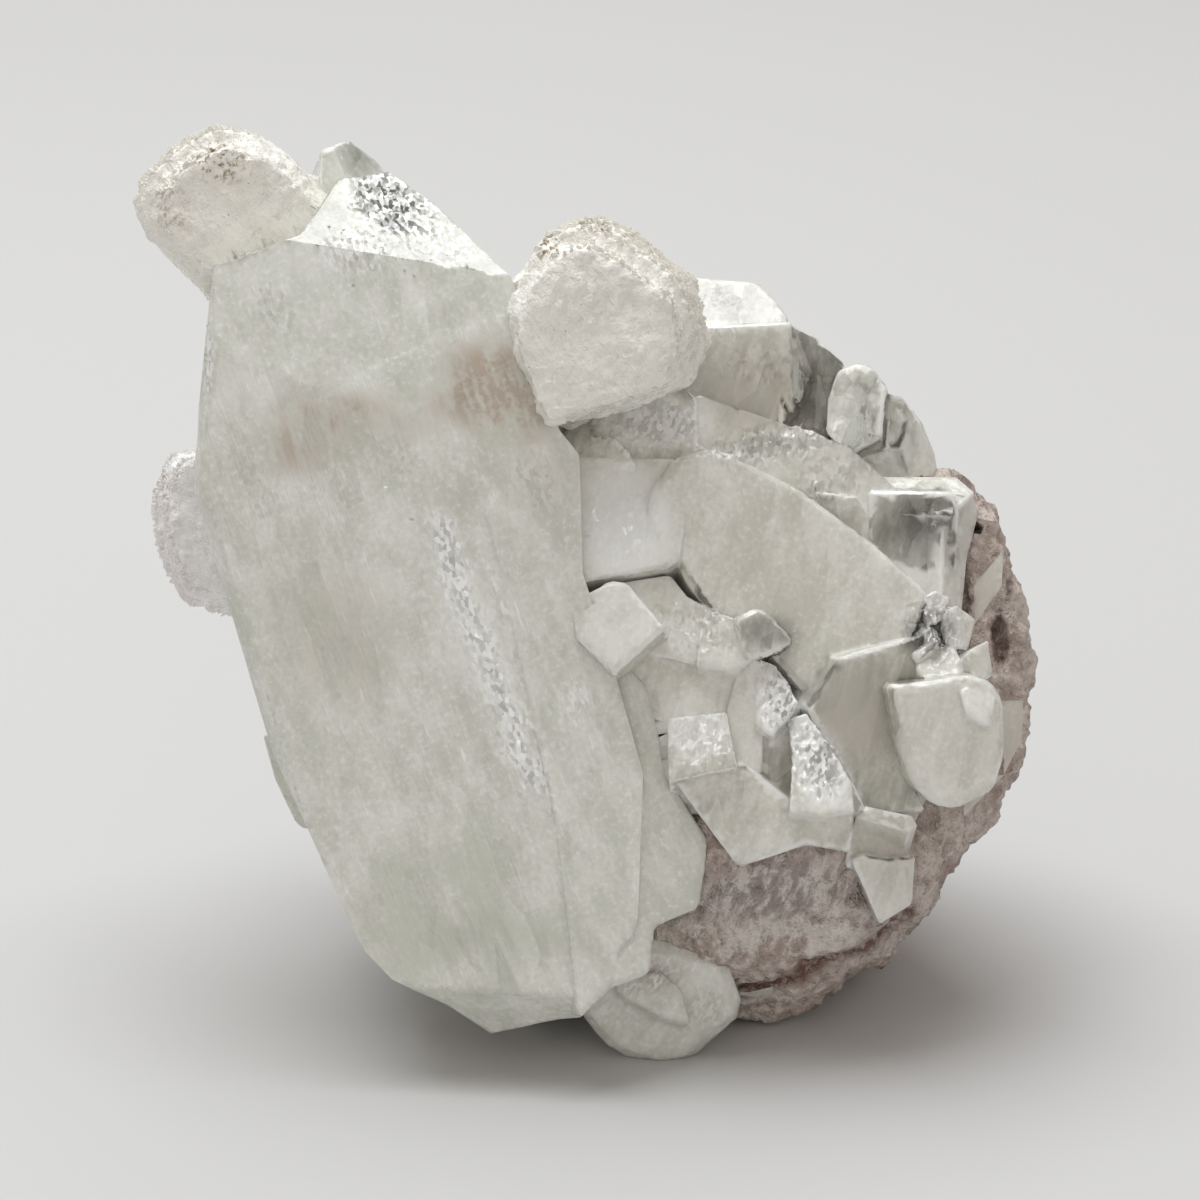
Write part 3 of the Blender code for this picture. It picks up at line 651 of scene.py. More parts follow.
# Ovals of painted glints on the great crystal: etched flats painted white and near black as if they mirrored
# light and dark
GREAT_PAINTED_GLINTS = [
    ((-16.6, 69.2), (5.0, 3.0), -35, 1.5), ((-19.5, 65.5), (4.0, 3.0), 10, 0.5),
    ((-31.2, 56.5), (0.8, 4.0), 0, 0.7), ((-2.0, 29.3), (2.0, 2.4), 0, 0.5),
    ((-4.8, 47.1), (3.0, 3.4), 0, 0.35), ((-12.0, 66.0), (3.0, 3.6), 40, 0.6),
    ((4.1, 5.9), (2.6, 2.0), 0, 0.6),
]
GREAT_STREAK = [(-12.6, 43.4), (-9.4, 34.0), (-5.5, 23.6)]
GREAT_LINE = [(-8.7, 40.3), (-3.4, 20.2)]
GREAT_BANDS = [(58.2, 0.10), (61.6, 0.05), (50.5, 0.035), (30.0, 0.03), (21.5, 0.03)]


def along_growth(points, normals, axis):
    """Each point's place across the growth lines of its face, and along them."""
    across = np.cross(normals, axis)
    across /= np.maximum(np.linalg.norm(across, axis=1), 1e-6)[:, None]
    return (points * across).sum(1), points @ np.array(axis)


def growth_lines(points, normals, axis, size, seed):
    """Ridges that run along the growth, about -1 to 1."""
    side, along = along_growth(points, normals, axis)
    ridge = np.stack([side / size, along / (size * 9.0), side * 0.0], 1)
    return rolling(ridge, 1.0, seed) + 0.5 * rolling(ridge * 2.3, 1.0, seed + 1)


def flat_tints(mesh, flats, spread):
    """How much milkier or clearer each flat is than the rest, and 1 on the narrow worn edges, which the
    finish paints paler as wear and as a painted highlight.
    """
    tints = np.zeros(len(flats) + 1)
    edges = np.zeros(len(flats) + 1)
    for k, (normal, centre, _, width) in enumerate(flats, 1):
        tints[k] = spread * 2.0 * noise.noise(normal * 2.3 + centre * 0.17)
        edges[k] = float(width < BEVEL_WIDTH)
    flat = per_vertex(mesh, face_values(mesh, "flat"))
    return tints[flat], edges[flat]


def great_piece(look):
    bm = node_copy("great_crystal")
    flats = label_flats(bm)

    def near(middle):
        apex = (middle.x + 17.0) ** 2 + (middle.z - 68.0) ** 2 < 36.0 and middle.y < 2.0
        return look.fine_grain if apex else look.grain

    refine(bm, look.grain, near)
    mesh = mesh_from(bm, "great")
    points, normals = points_of(mesh), normals_of(mesh)
    axis = np.array(GREAT_AXIS)
    front = (normals[:, 1] < -0.35).astype(float)
    etched = np.clip(spots(points, GREAT_ETCHED), 0.0, 1.2) * front
    ragged = 0.7 * rolling(points, 1.3, 21)
    streak = np.clip(1.3 - (from_line(points, GREAT_STREAK) + ragged) / 1.3, 0.0, 1.0) * front
    line = np.clip(1.0 - (from_line(points, GREAT_LINE) + ragged) / 0.5, 0.0, 1.0) * front
    height = look.relief * growth_lines(points, normals, axis, 2.6, 3)
    height += 0.6 * look.relief * rolling(points, 6.0, 8)
    along = points @ axis + 0.9 * np.sin(points[:, 0] * 0.16) + 0.35 * rolling(points, 3.0, 5)
    for level, rise in GREAT_BANDS:
        height -= rise * np.clip((along - level) / 0.35, 0.0, 1.0)
    height += 0.12 * streak + 0.06 * line
    height += look.etch * tilted_heights(points, etched > 0.75, 0.85, 17) * etched
    move_points(mesh, points + normals * height[:, None])
    tint, edge = flat_tints(mesh, flats, 0.05)
    paint(mesh, "milk", look.milk + tint + spots(points, GREAT_CLEAR) + spots(points, GREAT_MILKY))
    paint(mesh, "stain", spots(points, GREAT_STAINS))
    paint(mesh, "etch", etched + 0.8 * streak + 0.5 * line)
    # Painted glints on the etched flats and along the streak and the fine line
    paint(mesh, "glitter", spots(points, GREAT_PAINTED_GLINTS) * front + 0.8 * streak + 0.5 * line)
    # Whiter milky patches, darker towards the bottom, and a painted highlight along the glinting streak
    paint(mesh, "bright", spots(points, GREAT_WHITE_AND_SHEEN) + 0.4 * streak)
    paint(mesh, "edge", edge)
    finish = crystal_finish("great_crystal_finish", look, (0.0, math.radians(-19.9), 0.0))
    return placed(mesh, "great_crystal_dressed", ["great_crystal"], [finish])


# Ovals on the stepped group: centre, radii, turn, strength
GROUP_ETCHED = [
    ((3.2, 51.5), (6.0, 3.4), 0, 0.9), ((7.9, 26.3), (3.4, 3.2), 0, 0.6),
    ((13.9, 30.0), (2.2, 3.4), 10, 0.9), ((17.0, 25.0), (2.8, 4.2), 15, 0.8),
    ((26.8, 35.3), (3.6, 3.4), -30, 1.0), ((13.5, 50.0), (7.5, 2.2), 8, 1.0),
    ((7.9, 35.6), (5.4, 2.8), -10, 0.6), ((18.6, 47.2), (4.0, 2.4), 20, 0.6),
    ((13.0, 56.6), (4.0, 2.0), 0, 0.4),
    ((22.6, 14.8), (2.6, 3.4), 0, 0.3), ((1.9, 44.0), (3.6, 5.2), 0, 0.35),
]
GROUP_MILKY = [
    ((12.5, 42.0), (8.0, 6.5), -35, 0.32), ((20.0, 36.0), (5.0, 4.0), -40, 0.22),
    ((1.6, 36.0), (4.4, 4.4), 0, 0.30), ((27.6, 26.4), (5.6, 6.0), 0, 0.36),
    ((13.6, 19.6), (6.6, 3.2), 10, 0.34), ((2.0, 44.0), (4.4, 5.4), 0, 0.22),
    ((11.1, 61.6), (6.4, 3.0), 0, -0.25), ((7.9, 26.3), (3.4, 3.2), 0, 0.15),
]
GROUP_CLEAR = [
    ((20.0, 29.0), (4.0, 4.6), 0, 0.20), ((12.0, 55.0), (7.0, 5.0), 0, -0.22),
    ((23.0, 52.0), (6.0, 6.0), 0, -0.45), ((26.5, 43.0), (5.5, 5.5), 0, -0.38),
    ((26.8, 35.3), (3.6, 3.4), 0, -0.45), ((13.6, 35.1), (3.4, 2.4), -20, -0.30),
    ((22.6, 14.8), (3.4, 4.2), 0, -0.22), ((5.0, 51.4), (5.6, 3.4), 0, 0.25),
]
# Ovals painted lighter and darker on the group: painted highlights where faces such as the square one would
# mirror the light
GROUP_WHITE_AND_SHEEN = [
    ((15.0, 40.0), (10.0, 8.0), -35, -0.12), ((20.0, 29.0), (5.0, 6.0), 0, -0.3),
    ((12.0, 55.0), (8.0, 5.5), 0, -0.4), ((10.0, 33.0), (9.0, 3.0), 0, -0.1),
    ((24.0, 51.0), (5.0, 5.0), 0, -0.1), ((1.6, 44.0), (5.0, 6.0), 0, 1.0),
    ((4.6, 52.2), (6.0, 3.6), 0, 0.8),
    ((1.4, 35.8), (3.8, 4.0), 0, 0.3), ((7.6, 27.4), (3.6, 3.4), 0, 0.55),
    ((14.3, 29.4), (2.6, 3.8), 10, 0.9),
    ((17.4, 24.6), (2.8, 4.2), 15, 0.8), ((13.4, 18.6), (5.8, 2.0), 10, 0.2),
    ((11.4, 61.9), (6.0, 2.6), 0, 0.2),
    ((27.6, 26.2), (5.4, 5.8), 0, -0.05), ((26.0, 41.0), (3.0, 4.0), 0, 0.25),
]
# Ovals of painted glints on the group's etched faces
GROUP_PAINTED_GLINTS = [
    ((1.6, 44.0), (4.4, 5.2), 0, 0.40), ((4.6, 51.8), (5.4, 2.8), 0, 0.8),
    ((14.3, 29.4), (2.2, 3.8), 10, 1.0), ((17.4, 24.6), (2.4, 4.0), 15, 1.0),
    ((7.6, 27.4), (3.2, 3.0), 0, 0.5), ((26.8, 35.3), (3.2, 3.0), -30, 0.8),
    ((13.5, 50.0), (7.0, 1.6), 8, 0.8), ((18.0, 57.0), (2.0, 3.0), 0, 0.5),
    ((8.0, 34.6), (4.4, 2.0), -10, 0.4),
]
GROUP_STAINS = [
    ((13.5, 54.5), (7.0, 4.0), 0, 0.42), ((31.0, 39.5), (3.0, 8.0), 0, 0.40),
    ((22.5, 51.0), (4.0, 3.0), 0, 0.2),
    ((20.5, 28.5), (4.0, 5.0), 20, 0.26), ((24.0, 17.0), (4.0, 5.0), 0, 0.22),
]


def group_piece(look):
    bm = node_copy("stepped_crystals")
    flats = label_flats(bm)

    def near(middle):
        if middle.y > 8.0:
            return look.grain
        close = min(((middle.x - c[0]) / r[0]) ** 2 + ((middle.z - c[1]) / r[1]) ** 2
                    for c, r, _, s in GROUP_ETCHED if s > 0.55)
        return look.fine_grain if close < 1.0 else look.grain

    refine(bm, look.grain, near)
    mesh = mesh_from(bm, "group")
    points, normals = points_of(mesh), normals_of(mesh)
    flat = per_vertex(mesh, face_values(mesh, "flat"))
    ways = np.zeros((len(flats) + 1, 3))
    for k, (normal, centre, _, _) in enumerate(flats, 1):
        swing = 3.0 * noise.noise(normal * 2.7 + centre * 0.11)
        ways[k] = (math.cos(swing), 0.2, math.sin(swing))
        if (centre - Vector((1.8, centre.y, 43.9))).length < 3.5:
            ways[k] = (1.0, 0.0, 0.06)
    way = ways[flat]
    across = np.cross(normals, way)
    across /= np.maximum(np.linalg.norm(across, axis=1), 1e-6)[:, None]
    side = (points * across).sum(1)
    along = (points * way).sum(1)
    ridge = np.stack([side / 1.5, along / 9.0, flat * 3.7], 1)
    etched = np.clip(spots(points, GROUP_ETCHED), 0.0, 1.2) * (normals[:, 1] < 0.1)
    height = look.relief * (rolling(ridge, 1.0, 2) + 0.5 * rolling(ridge * 2.1, 1.0, 4))
    height += look.etch * tilted_heights(points, etched > 0.25, 0.75, 29) * etched
    move_points(mesh, points + normals * height[:, None])
    closed_seams(mesh, ["great_crystal"])
    tint, edge = flat_tints(mesh, flats, 0.30)
    paint(mesh, "milk", look.milk + tint + spots(points, GROUP_MILKY) + spots(points, GROUP_CLEAR))
    paint(mesh, "stain", spots(points, GROUP_STAINS))
    paint(mesh, "etch", etched)
    # Painted glints on the etched faces
    paint(mesh, "glitter", spots(points, GROUP_PAINTED_GLINTS) * (normals[:, 1] < 0.1))
    # Painted highlights on faces that would mirror the light, with lighter and darker patches and each flat's
    # own tone
    paint(mesh, "bright", spots(points, GROUP_WHITE_AND_SHEEN) + tint)
    paint(mesh, "edge", edge)
    finish = crystal_finish("stepped_crystals_finish", look, (0.0, math.radians(12.0), 0.0))
    return placed(mesh, "stepped_crystals_dressed", ["stepped_crystals"], [finish])


# Ovals where the foot crystal is chipped
FOOT_CHIPS = [
    ((4.2, 7.6), (4.0, 2.2), 10, 0.8), ((1.0, 4.6), (2.4, 1.6), 0, 0.5), ((8.6, 5.0), (2.0, 2.0), 0, 0.5),
]


def foot_piece(look):
    bm = node_copy("foot_crystal")
    label_flats(bm)
    refine(bm, look.grain)
    mesh = mesh_from(bm, "foot")
    points, normals = points_of(mesh), normals_of(mesh)
    height = look.relief * (1.6 * rolling(points, 2.4, 6) + 0.8 * rolling(points, 0.9, 7))
    height *= np.clip(heights_of(points) - 0.2, 0.0, 1.0)
    move_points(mesh, points + normals * height[:, None])
    closed_seams(mesh, ["great_crystal"])
    paint_plain(mesh, ["edge", "bright"])
    # Painted glints on the chips
    paint(mesh, "glitter", spots(points, FOOT_CHIPS))
    paint(mesh, "milk", np.full(len(points), look.milk - 0.08))
    paint(mesh, "stain", 0.4 * spots(points, FOOT_CHIPS))
    paint(mesh, "etch", spots(points, FOOT_CHIPS))
    finish = crystal_finish("foot_crystal_finish", look, (0.0, math.radians(30.0), 0.0))
    return placed(mesh, "foot_crystal_dressed", ["foot_crystal"], [finish])


# Ovals and the seam on the rock
ROCK_PURPLE = [((14.0, 14.4), (9.5, 4.0), 6, 0.95), ((22.0, 11.5), (4.0, 3.0), 30, 0.5)]
ROCK_PALE = [
    ((15.6, 10.6), (7.6, 2.8), 14, 0.85), ((7.2, 9.4), (4.6, 3.6), 20, 0.75),
    ((10.0, 4.4), (9.0, 2.2), 12, 0.6),
]
ROCK_SEAM = [(5.8, 4.2), (13.0, 6.4), (21.0, 9.7), (25.0, 12.5)]
ROCK_PITS = [
    ((32.4, 34.4), (1.2, 3.2), 0, 1.0), ((33.2, 38.6), (0.9, 1.6), 0, 0.6),
    ((32.8, 29.0), (1.0, 2.0), 0, 0.6),
]
NEIGHBOURS = ["great_crystal", "stepped_crystals", "foot_crystal"]


def rock_faces(bm, look):
    """Marks the faces that belong to the small blocky crystals fused to the rock."""
    flats = label_flats(bm, math.radians(0.25))
    layer = bm.faces.layers.int["flat"]
    count = np.bincount([f[layer] for f in bm.faces], minlength=len(flats) + 1)
    crystal = bm.faces.layers.int.new("crystal")
    for face in bm.faces:
        _, centre, area, _ = flats[face[layer] - 1]
        face[crystal] = int(area > look.flat_area and count[face[layer]] > 1 and centre.y > 3.0)
    for face in bm.faces:
        around = [f for e in face.edges for f in e.link_faces if f is not face]
        if not face[crystal] and around and all(f[crystal] == 1 for f in around):
            face[crystal] = 2
    trees = surfaces_of(NEIGHBOURS)
    for face in bm.faces:
        middle = face.calc_center_median()
        low = middle.dot(UP) < 0.3
        if face[crystal] and (low or any(t.find_nearest(middle, SEAM_REACH)[0] is not None for t in trees)):
            face[crystal] = 0


def smoothed(mesh, points, free, rounds):
    """Relaxes the free points towards their neighbours."""
    edges = np.empty(len(mesh.edges) * 2, np.int32)
    mesh.edges.foreach_get("vertices", edges)
    edges = edges.reshape(-1, 2)
    count = np.bincount(edges.ravel(), minlength=len(points)).astype(float)
    for _ in range(rounds):
        total = np.zeros_like(points)
        np.add.at(total, edges[:, 0], points[edges[:, 1]])
        np.add.at(total, edges[:, 1], points[edges[:, 0]])
        points = np.where(free[:, None], total / np.maximum(count, 1.0)[:, None], points)
    return points


def rock_piece(look, coat):
    bm = node_copy("matrix")
    rock_faces(bm, look)
    refine(bm, look.grain)
    mesh = mesh_from(bm, "rock")
    crystal = face_values(mesh, "crystal")
    rocky = np.ones(len(mesh.vertices), bool)
    corner = np.empty(len(mesh.loops), np.int32)
    mesh.loops.foreach_get("vertex_index", corner)
    rocky[corner[np.repeat(crystal > 0, 3)]] = False
    points = points_of(mesh)
    up = heights_of(points)
    free = rocky & (up > 0.25)
    points = smoothed(mesh, points, free, look.rounds)
    move_points(mesh, points)
    normals = normals_of(mesh)
    pits = spots(points, ROCK_PITS) * (normals[:, 1] < 0.5)
    reach = from_line(points, ROCK_SEAM) + 0.5 * rolling(points, 1.6, 14)
    seam = np.clip(1.4 - reach / 0.6, 0.0, 1.0) * (normals[:, 1] < 0.3)
    lumps = rolling(points, 4.2, 11)
    crags = 1.0 - 2.0 * np.abs(rolling(points, 2.2, 12))
    grit = rolling(points, 0.9, 13)
    ledges = np.round(points @ np.array((0.3, 0.2, 0.93)) * 0.8 + 1.2 * lumps) * 0.5
    height = look.relief * (0.50 * lumps + 0.38 * crags + 0.34 * grit + 0.16 * np.sin(ledges * 9.0))
    height -= 0.9 * pits * (0.6 + 0.4 * np.sign(grit)) + 0.5 * seam
    settled = free & (up > 0.6)
    points = points + normals * (height * settled)[:, None]
    move_points(mesh, points)
    closed_seams(mesh, NEIGHBOURS)
    paint(mesh, "purple", spots(points, ROCK_PURPLE) * (normals[:, 1] < 0.2))
    paint(mesh, "pale", spots(points, ROCK_PALE) * (normals[:, 1] < 0.4))
    # The pits, and painted shade where the broken surface sinks in
    paint(mesh, "pit", pits - 0.5 * height / max(look.relief, 0.01))
    paint(mesh, "seam", seam)
    paint(mesh, "milk", np.full(len(points), coat.milk + 0.1))
    paint_plain(mesh, ["edge", "bright", "glitter"])
    paint(mesh, "stain", np.clip(0.4 + 0.5 * rolling(points, 7.0, 31), 0.0, 1.0))
    paint(mesh, "etch", np.full(len(points), 0.12))
    rear = crystal_finish("rear_crystals_finish", coat, (0.0, math.radians(25.0), 0.0))
    piece = placed(mesh, "matrix_dressed", ["matrix"], [rock_finish(look), rear])
    mesh.polygons.foreach_set("material_index", (crystal > 0).astype(np.int32))
    mesh.update()
    return piece


# Each sheaf: the root that it fans out from (right, back, up), its seed, and ovals of brown dirt
SHEAVES = {
    "stilbite_crown": (
        (-21.0, 6.0, 58.0), 5, [((-30.4, 72.6), (3.4, 2.2), -10, 1.0), ((-34.4, 68.8), (2.0, 2.6), 0, 0.6)]),
    "stilbite_front": (
        (-4.5, 0.0, 48.5), 9, [((-4.1, 65.4), (1.5, 1.4), 0, 1.2), ((-0.5, 67.0), (2.2, 1.0), 0, 0.9)]),
    "stilbite_back": ((-24.0, 18.0, 43.0), 4, [((-36.0, 47.0), (1.4, 2.0), 0, 0.5)]),
}


def blade_growth():
    """Geometry Nodes: thin blades that stand on a sheaf and point away from its root."""
    tree = Growth("sheaf_blades", [
        ("Density", "Float"), ("Length", "Float"), ("Width", "Float"), ("Thickness", "Float"),
        ("Root", "Vector"), ("Stack", "Vector"), ("Sunk", "Float"), ("Seed", "Int"), ("Finish", "Material")])
    body = Value(tree, tree.entry.outputs["Geometry"])
    rim = tree.node("GeometryNodeInputNamedAttribute", {"data_type": "FLOAT"}, {"Name": "rim"})
    points = tree.node("GeometryNodeDistributePointsOnFaces", {}, {
        "Mesh": body, "Density": tree.input("Density") * rim, "Seed": tree.input("Seed")})
    place = tree.node("GeometryNodeInputPosition")
    away = tree.node("ShaderNodeVectorMath", {"operation": "SUBTRACT"}, {0: place, 1: tree.input("Root")})
    stray = tree.node("FunctionNodeRandomValue", {"data_type": "FLOAT_VECTOR"}, {
        "Min": (-1.4,) * 3, "Max": (1.4,) * 3, "Seed": tree.input("Seed")})
    away = tree.node("ShaderNodeVectorMath", {"operation": "ADD"}, {0: away, 1: stray})
    turn = tree.node("FunctionNodeAlignRotationToVector", {"axis": "Z"}, {"Vector": away})
    turn = tree.node("FunctionNodeAlignRotationToVector", {"axis": "Y", "pivot_axis": "Z"}, {
        "Rotation": turn, "Vector": tree.input("Stack")})
    size = tree.node("ShaderNodeCombineXYZ", {}, {
        "X": tree.input("Width"), "Y": tree.input("Thickness"), "Z": tree.input("Length")})
    blade = tree.node("GeometryNodeMeshCube", {}, {
        "Size": size, "Vertices X": 2, "Vertices Y": 2, "Vertices Z": 3})
    split = tree.node("ShaderNodeSeparateXYZ", {}, {"Vector": tree.node("GeometryNodeInputPosition")})
    high = tree.outputs(split, "Z")
    tip = tree.node("FunctionNodeCompare", {"data_type": "FLOAT", "operation": "GREATER_THAN"}, {
        0: high, 1: 0.1 * tree.input("Length")})
    narrowed = tree.node("ShaderNodeCombineXYZ", {}, {
        "X": tree.outputs(split, "X") * 0.35, "Y": tree.outputs(split, "Y") * 0.7, "Z": high})
    blade = tree.node("GeometryNodeSetPosition", {}, {
        "Geometry": blade, "Selection": tip, "Position": narrowed})
    scale = tree.node("FunctionNodeRandomValue", {"data_type": "FLOAT_VECTOR"}, {
        "Min": (0.55,) * 3, "Max": (1.35,) * 3, "Seed": 7})
    grown = tree.node("GeometryNodeInstanceOnPoints", {}, {
        "Points": points, "Instance": blade, "Rotation": turn, "Scale": scale})
    sunk = tree.node("ShaderNodeCombineXYZ", {}, {"Z": tree.input("Sunk") * -1.0})
    grown = tree.node("GeometryNodeTranslateInstances", {}, {"Instances": grown, "Translation": sunk})
    tree.close(grown)
    return tree


def sheaf_piece(node, look, growth, finish):
    """A stilbite sheaf: a smooth ribbed body and the blade tips that stand out of its rim."""
    root, seed, dirt = SHEAVES[node]
    bm = node_copy(node)

    def even(modifier):
        modifier.mode = "VOXEL"
        modifier.voxel_size = look.grain

    mesh = changed(mesh_from(bm, "sheaf"), "REMESH", even)
    points = smoothed(mesh, points_of(mesh), np.ones(len(mesh.vertices), bool), look.rounds)
    move_points(mesh, points)
    normals = normals_of(mesh)
    away = points - np.array(root)
    reach = np.linalg.norm(away, axis=1)
    away /= reach[:, None]
    across = away * (1.0, 0.35, 1.0)
    across /= np.linalg.norm(across, axis=1)[:, None]
    facing = np.clip((normals * across).sum(1), 0.0, 1.0)
    angle = np.stack([np.arctan2(away[:, 0], away[:, 2]) * 34.0, away[:, 1] * 30.0, reach * 0.12], 1)
    ribs = rolling(angle, 1.0, seed) + 0.5 * rolling(angle * 2.1, 1.0, seed + 1)
    lumps = 1.6 * rolling(points, 3.4, seed + 2) + 0.6 * rolling(points, 0.9, seed + 3)
    height = look.relief * (ribs + lumps)
    move_points(mesh, points + normals * (height - look.inset)[:, None])
    closed_seams(mesh, ["great_crystal", "stepped_crystals"])
    paint(mesh, "rim", np.clip((facing - 0.70) * 4.0, 0.0, 1.0))
    body = bmesh.new()
    body.from_mesh(mesh)
    blades = growth.run(mesh, {
        "Density": look.density, "Length": look.length, "Width": look.width, "Thickness": look.thick,
        "Root": root, "Stack": (0.1, 1.0, 0.2), "Sunk": look.length * look.sunk, "Seed": seed,
        "Finish": finish})
    body.from_mesh(blades)
    whole = mesh_from(body, node)
    points = points_of(whole)
    away = points - np.array(root)
    reach = np.linalg.norm(away, axis=1)
    paint_over(whole, "rim", np.clip((reach / reach.max() - 0.72) * 4.0, 0.0, 1.0))
    paint(whole, "dirt", spots(points, dirt))
    return placed(whole, node + "_dressed", [node], [finish])


# Settings that a user would change

def tone(name, description, colour):
    return FloatVectorProperty(
        name=name, description=description, size=4, subtype="COLOR", min=0.0, max=1.0,
        default=(*colour, 1.0))


def number(name, description, default, low=0.0, high=100.0):
    return FloatProperty(name=name, description=description, default=default, min=low, max=high)


class ClusterGreatLook(bpy.types.PropertyGroup):
    """The great crystal and its foot."""
    grain: number("Grain", "Longest edge of the dressed mesh, in millimetres", 0.70)
    fine_grain: number("Fine grain", "Longest edge where the crystal is etched, in millimetres", 0.28)
    relief: number("Relief", "Height of the growth lines, in millimetres", 0.045)
    etch: number("Etching", "How steep the etched flats stand", 0.50)
    milk: number("Milkiness", "Share of the crystal that is cloudy", 0.90)
    ior: number("Index of refraction", "How strongly the crystal bends light", 1.535, 1.0, 2.5)
    lines: number("Lines", "Strength of the fine lines along the growth", 1.0)
    # Also the strength of the painted highlight along the worn edges
    rim: number("Rim", "How pale the worn edges are", 0.12)
    # Colour of the painted dark reflections in the etched flats
    dark_tone: tone("Dark flakes", "Colour of the dark etched flats", (0.22, 0.22, 0.215))
    soft: number("Softness", "Share of the cloudy parts' light that comes from inside", 0.1, 0.0, 1.0)
    glow: number("Glow", "How far light spreads in the cloudy parts, in millimetres", 2.4)
    milk_tone: tone("Milk", "Colour of the cloudy parts", (0.80, 0.80, 0.755))
    deep_tone: tone("Deep", "Colour of the greener, deeper parts", (0.62, 0.63, 0.56))
    # Also the colour of the painted highlights and painted glints
    veil_and_glint_tone: tone("Veils", "Colour of the fine white veils", (0.95, 0.96, 0.95))
    stain_tone: tone("Stain", "Colour of the brown stains", (0.50, 0.425, 0.35))
    clear_tone: tone("Clear", "Colour of the clear parts", (0.93, 0.955, 0.925))
    depth_tone: tone("Depth", "Colour that light takes through the crystal", (0.80, 0.86, 0.78))
    depth_density: number("Depth density", "How fast the crystal takes colour, per metre", 42.0, 0.0, 500.0)


class ClusterGroupLook(bpy.types.PropertyGroup):
    """The stepped group."""
    grain: number("Grain", "Longest edge of the dressed mesh, in millimetres", 0.84)
    fine_grain: number("Fine grain", "Longest edge where the crystals are etched, in millimetres", 0.34)
    relief: number("Relief", "Height of the growth lines, in millimetres", 0.03)
    etch: number("Etching", "How steep the etched flats stand", 0.42)
    milk: number("Milkiness", "Share of the crystals that is cloudy", 0.80)
    ior: number("Index of refraction", "How strongly the crystals bend light", 1.535, 1.0, 2.5)
    lines: number("Lines", "Strength of the fine lines along the growth", 0.4)
    # Also the strength of the painted highlight along the worn edges
    rim: number("Rim", "How pale the worn edges are", 0.6)
    # Colour of the painted dark reflections in the etched flats
    dark_tone: tone("Dark flakes", "Colour of the dark etched flats", (0.22, 0.22, 0.215))
    soft: number("Softness", "Share of the cloudy parts' light that comes from inside", 0.1, 0.0, 1.0)
    glow: number("Glow", "How far light spreads in the cloudy parts, in millimetres", 2.0)
    milk_tone: tone("Milk", "Colour of the cloudy parts", (0.82, 0.81, 0.76))
    deep_tone: tone("Deep", "Colour of the greener, deeper parts", (0.62, 0.61, 0.54))
    # Also the colour of the painted highlights and painted glints
    veil_and_glint_tone: tone("Veils", "Colour of the fine white veils", (0.95, 0.96, 0.95))
    stain_tone: tone("Stain", "Colour of the brown stains", (0.46, 0.385, 0.335))
    clear_tone: tone("Clear", "Colour of the clear parts", (0.95, 0.96, 0.94))
    depth_tone: tone("Depth", "Colour that light takes through the crystals", (0.84, 0.86, 0.78))
    depth_density: number("Depth density", "How fast the crystals take colour, per metre", 40.0, 0.0, 500.0)


class ClusterRockLook(bpy.types.PropertyGroup):
    """The rock."""
    grain: number("Grain", "Longest edge of the dressed mesh, in millimetres", 0.72)
    relief: number("Relief", "Height of the broken surface, in millimetres", 1.15)
    rounds: IntProperty(name="Rounds", description="How often the coarse solid is relaxed", default=5, min=0)
    flat_area: number("Smallest flat", "Least face of the small crystals, in square millimetres", 2.5)
    dark_tone: tone("Dark", "Colour of fresh rock", (0.40, 0.315, 0.275))
    pale_tone: tone("Pale", "Colour of weathered rock", (0.70, 0.62, 0.57))
    purple_tone: tone("Purple grey", "Colour of the broken face in front", (0.36, 0.295, 0.283))
    skin_tone: tone("Skin", "Colour of the pale bulge", (0.74, 0.695, 0.65))
    # Also the colour of the painted shade in the hollows
    pit_and_shade_tone: tone("Pits", "Colour in the pits", (0.17, 0.12, 0.10))
    rust_tone: tone("Rust", "Colour of the seam", (0.15, 0.075, 0.055))


class ClusterSheafLook(bpy.types.PropertyGroup):
    """The stilbite sheaves."""
    grain: number("Grain", "Edge of the body's mesh, in millimetres", 0.40)
    relief: number("Relief", "Height of the ribs, in millimetres", 0.22)
    rounds: IntProperty(name="Rounds", description="How often the body is relaxed", default=3, min=0)
    inset: number("Inset", "How far the body stays under the blade tips, in millimetres", 0.12)
    density: number("Density", "Blades per square millimetre at the rim", 4.5)
    length: number("Length", "Length of a blade, in millimetres", 1.1)
    width: number("Width", "Width of a blade, in millimetres", 0.62)
    thick: number("Thickness", "Thickness of a blade, in millimetres", 0.18)
    sunk: number("Sunk", "Share of a blade that stands in the body", 0.25)
    glow: number("Glow", "How far light spreads in stilbite, in millimetres", 1.2)
    cream_tone: tone("Cream", "Colour of the cream sheaves", (0.965, 0.95, 0.895))
    cream_shade: tone("Cream shade", "Darker colour of the cream sheaves", (0.93, 0.91, 0.845))
    pink_tone: tone("Pink", "Colour of the sheaf behind", (0.99, 0.975, 0.97))
    pink_shade: tone("Pink shade", "Darker colour of the sheaf behind", (0.97, 0.945, 0.94))
    rim_tone: tone("Rim", "Colour of the blade tips", (0.91, 0.87, 0.80))
    speck_tone: tone("Specks", "Colour of the brown specks", (0.26, 0.18, 0.09))


class ClusterStageLook(bpy.types.PropertyGroup):
    """The floor, the light and the camera."""
    floor_tone: tone("Floor", "Colour of the floor", (0.61, 0.605, 0.605))
    key_power: FloatProperty(
        name="Key", description="Power of the soft light overhead", default=5.2, min=0.0, unit="POWER")
    front_power: FloatProperty(
        name="Front", description="Power of the soft light in front", default=1.5, min=0.0, unit="POWER")
    sky: number("Sky", "Strength of the light from all round", 0.42)


